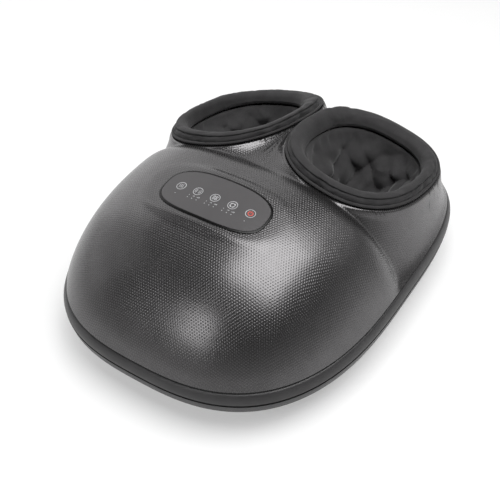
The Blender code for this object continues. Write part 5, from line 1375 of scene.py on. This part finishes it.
# Gearboxes. Two glass-filled nylon halves on each side hold the shaft in sintered bronze bushes, and two
# hobbed acetal wheels that carry the kneading discs.
SINTERED = {"grain": 0.0005, "depth": 0.00003, "spread": 0.2}
boxes = pair("gearbox_lower", "gearbox_upper")
bushes = pair("inner_bush", "outer_bush")
wheels = pair("worm_wheel_heel", "worm_wheel_toe")
dress_grained("box_nylon", boxes, (0.24, 0.245, 0.25), 0.48, grain=0.0011, depth=0.00004, spread=0.14)
dress_grained("bush_bronze", bushes, (0.50, 0.33, 0.16), 0.42, 1.0, **SINTERED)
dress_grained("wheel_acetal", wheels, (0.72, 0.70, 0.62), 0.36, grain=0.0009, spread=0.04)

# Vibration motors. A small can motor of plated steel under each heel, with a pressed weight of sintered
# tungsten steel on its shaft.
DRAWN = {"grain": 0.004, "spread": 0.05, "stretch": (1, 14, 1)}
dress_grained("can_steel", pair("vibration_motor"), (0.48, 0.49, 0.51), 0.28, 1.0, **DRAWN)
dress_grained("weight_steel", pair("eccentric_weight"), (0.20, 0.20, 0.21), 0.5, 1.0, **SINTERED)

# Air pump. A drum motor with a diaphragm head, a valve block and two soft hoses that run forward to the
# air bags.
dress_grained("pump_plastic", ["pump_body"], (0.30, 0.31, 0.32), 0.42, grain=0.0008, depth=0.00003)
dress_grained("head_plastic", ["pump_head", "air_valve"], (0.40, 0.41, 0.42), 0.38, grain=0.0008)
dress_grained("hose_rubber", pair("air_hose"), (0.030, 0.030, 0.031), 0.45, grain=0.0006)

# Circuit boards and power inlet. Glass-epoxy boards with green solder mask over copper tracks, one under
# the panel and one on standoffs in the tray. The inlet is a glossy black nylon socket.
boards = ["main_board", "touch_board"]
dress_tracked("board_mask", boards, (0.018, 0.115, 0.045), (0.035, 0.19, 0.075), 0.32)
dress_grained("inlet_nylon", ["power_inlet"], (0.010, 0.010, 0.010), 0.3, grain=0.0008, depth=0.00001)

# Rubber feet and casing screws. Four matt black rubber feet pressed into the tray, and four zinc plated
# screws in its posts.
RUBBED = {"grain": 0.0006, "depth": 0.00005, "spread": 0.2}
PLATED = {"grain": 0.003, "spread": 0.08, "stretch": (1, 1, 12)}
feet = pair("rubber_foot_heel", "rubber_foot_toe")
screws = pair("housing_screw_heel", "housing_screw_toe")
dress_grained("foot_rubber", feet, (0.020, 0.020, 0.020), 0.75, **RUBBED)
dress_grained("screw_zinc", screws, (0.50, 0.51, 0.52), 0.30, 1.0, **PLATED)

# Floor, light and camera. A pale matt floor under soft studio boxes. It glows a little towards the camera
# and in reflections, as a lit sweep of paper does, without lighting the machine from below.
FLOOR_HALF = 4.0
FLOOR_CORNERS = ((-1, -1), (1, -1), (1, 1), (-1, 1))
FLOOR_GLOW = 0.37
floor_mesh = bpy.data.meshes.new("floor")
floor_mesh.from_pydata([(x * FLOOR_HALF, y * FLOOR_HALF, 0) for x, y in FLOOR_CORNERS], [], [(0, 1, 2, 3)])
floor = new_object("floor", floor_mesh)
floor_paint = plain_material("floor_paint", (0.60, 0.60, 0.60), 0.9)
floor_tree = floor_paint.node_tree
rays = add_node(floor_tree, "LightPath").outputs
seen = rays["Is Camera Ray"]
for ray in ("Is Glossy Ray", "Is Transmission Ray"):
    seen = add_math(floor_tree, "MAXIMUM", seen, rays[ray])
set_shader(floor_paint, {"Emission Color": (1, 1, 1, 1), "Specular IOR Level": 0.2})
set_shader(floor_paint, {"Emission Strength": add_math(floor_tree, "MULTIPLY", seen, FLOOR_GLOW)})
floor_mesh.materials.append(floor_paint)

# Square lamps that face the middle of the floor: name, two angles in degrees, size and power.
SOFTBOX_DISTANCE = 1.5
SOFTBOXES = (
    ("top_softbox", 15, 0, 1.2, 24),
    ("left_softbox", 62, -165, 1.2, 2.6),
    ("toe_softbox", 57, -98, 0.5, 3.2),
    ("side_softbox", 50, 45, 0.8, 1.2),
    ("rear_softbox", 60, 145, 1.7, 9.0),
)
for name, polar, azimuth, size, power in SOFTBOXES:
    lamp = bpy.data.lights.new(name, "AREA")
    lamp.shape = "SQUARE"
    lamp.size = size
    lamp.energy = power
    polar, azimuth = math.radians(polar), math.radians(azimuth)
    level = math.sin(polar)
    away = Vector((level * math.cos(azimuth), level * math.sin(azimuth), math.cos(polar)))
    box = new_object(name, lamp)
    box.location = away * SOFTBOX_DISTANCE
    box.rotation_euler = away.to_track_quat("Z", "Y").to_euler()

# The room is pale at the height of its walls and darker overhead.
WALL_TOP = 0.5
WALL_STRENGTH = 0.50
CEILING_STRENGTH = 0.08
world = bpy.data.worlds.new("studio")
bpy.context.scene.world = world
world.use_nodes = True
sky = world.node_tree
direction = add_node(sky, "TexCoord").outputs["Generated"]
height = add_node(sky, "SeparateXYZ", {0: direction}).outputs["Z"]
glow = add_range(sky, height, (0.0, WALL_TOP, WALL_STRENGTH, CEILING_STRENGTH))
feed(sky, sky.nodes["Background"], {"Color": (1, 1, 1, 1), "Strength": glow})

CAMERA_AZIMUTH = math.radians(34.984)
CAMERA_ELEVATION = math.radians(42.130)
CAMERA_ROLL = -0.0356
CAMERA_DISTANCE = 0.9924
CAMERA_TARGET = Vector((-0.0155, -0.0018, 0.0278))
CAMERA_LENS = 60.73
level = math.cos(CAMERA_ELEVATION)
across = math.sin(CAMERA_AZIMUTH) * level
along = -math.cos(CAMERA_AZIMUTH) * level
back = Vector((across, along, math.sin(CAMERA_ELEVATION)))
camera_data = bpy.data.cameras.new("camera")
camera_data.lens = CAMERA_LENS
camera = new_object("camera", camera_data)
turn = back.to_track_quat("Z", "Y").to_matrix() @ Matrix.Rotation(CAMERA_ROLL, 3, "Z")
camera.matrix_world = Matrix.Translation(CAMERA_TARGET + back * CAMERA_DISTANCE) @ turn.to_4x4()
bpy.context.scene.camera = camera
bpy.context.scene.view_settings.view_transform = "Standard"

bpy.context.view_layer.update()
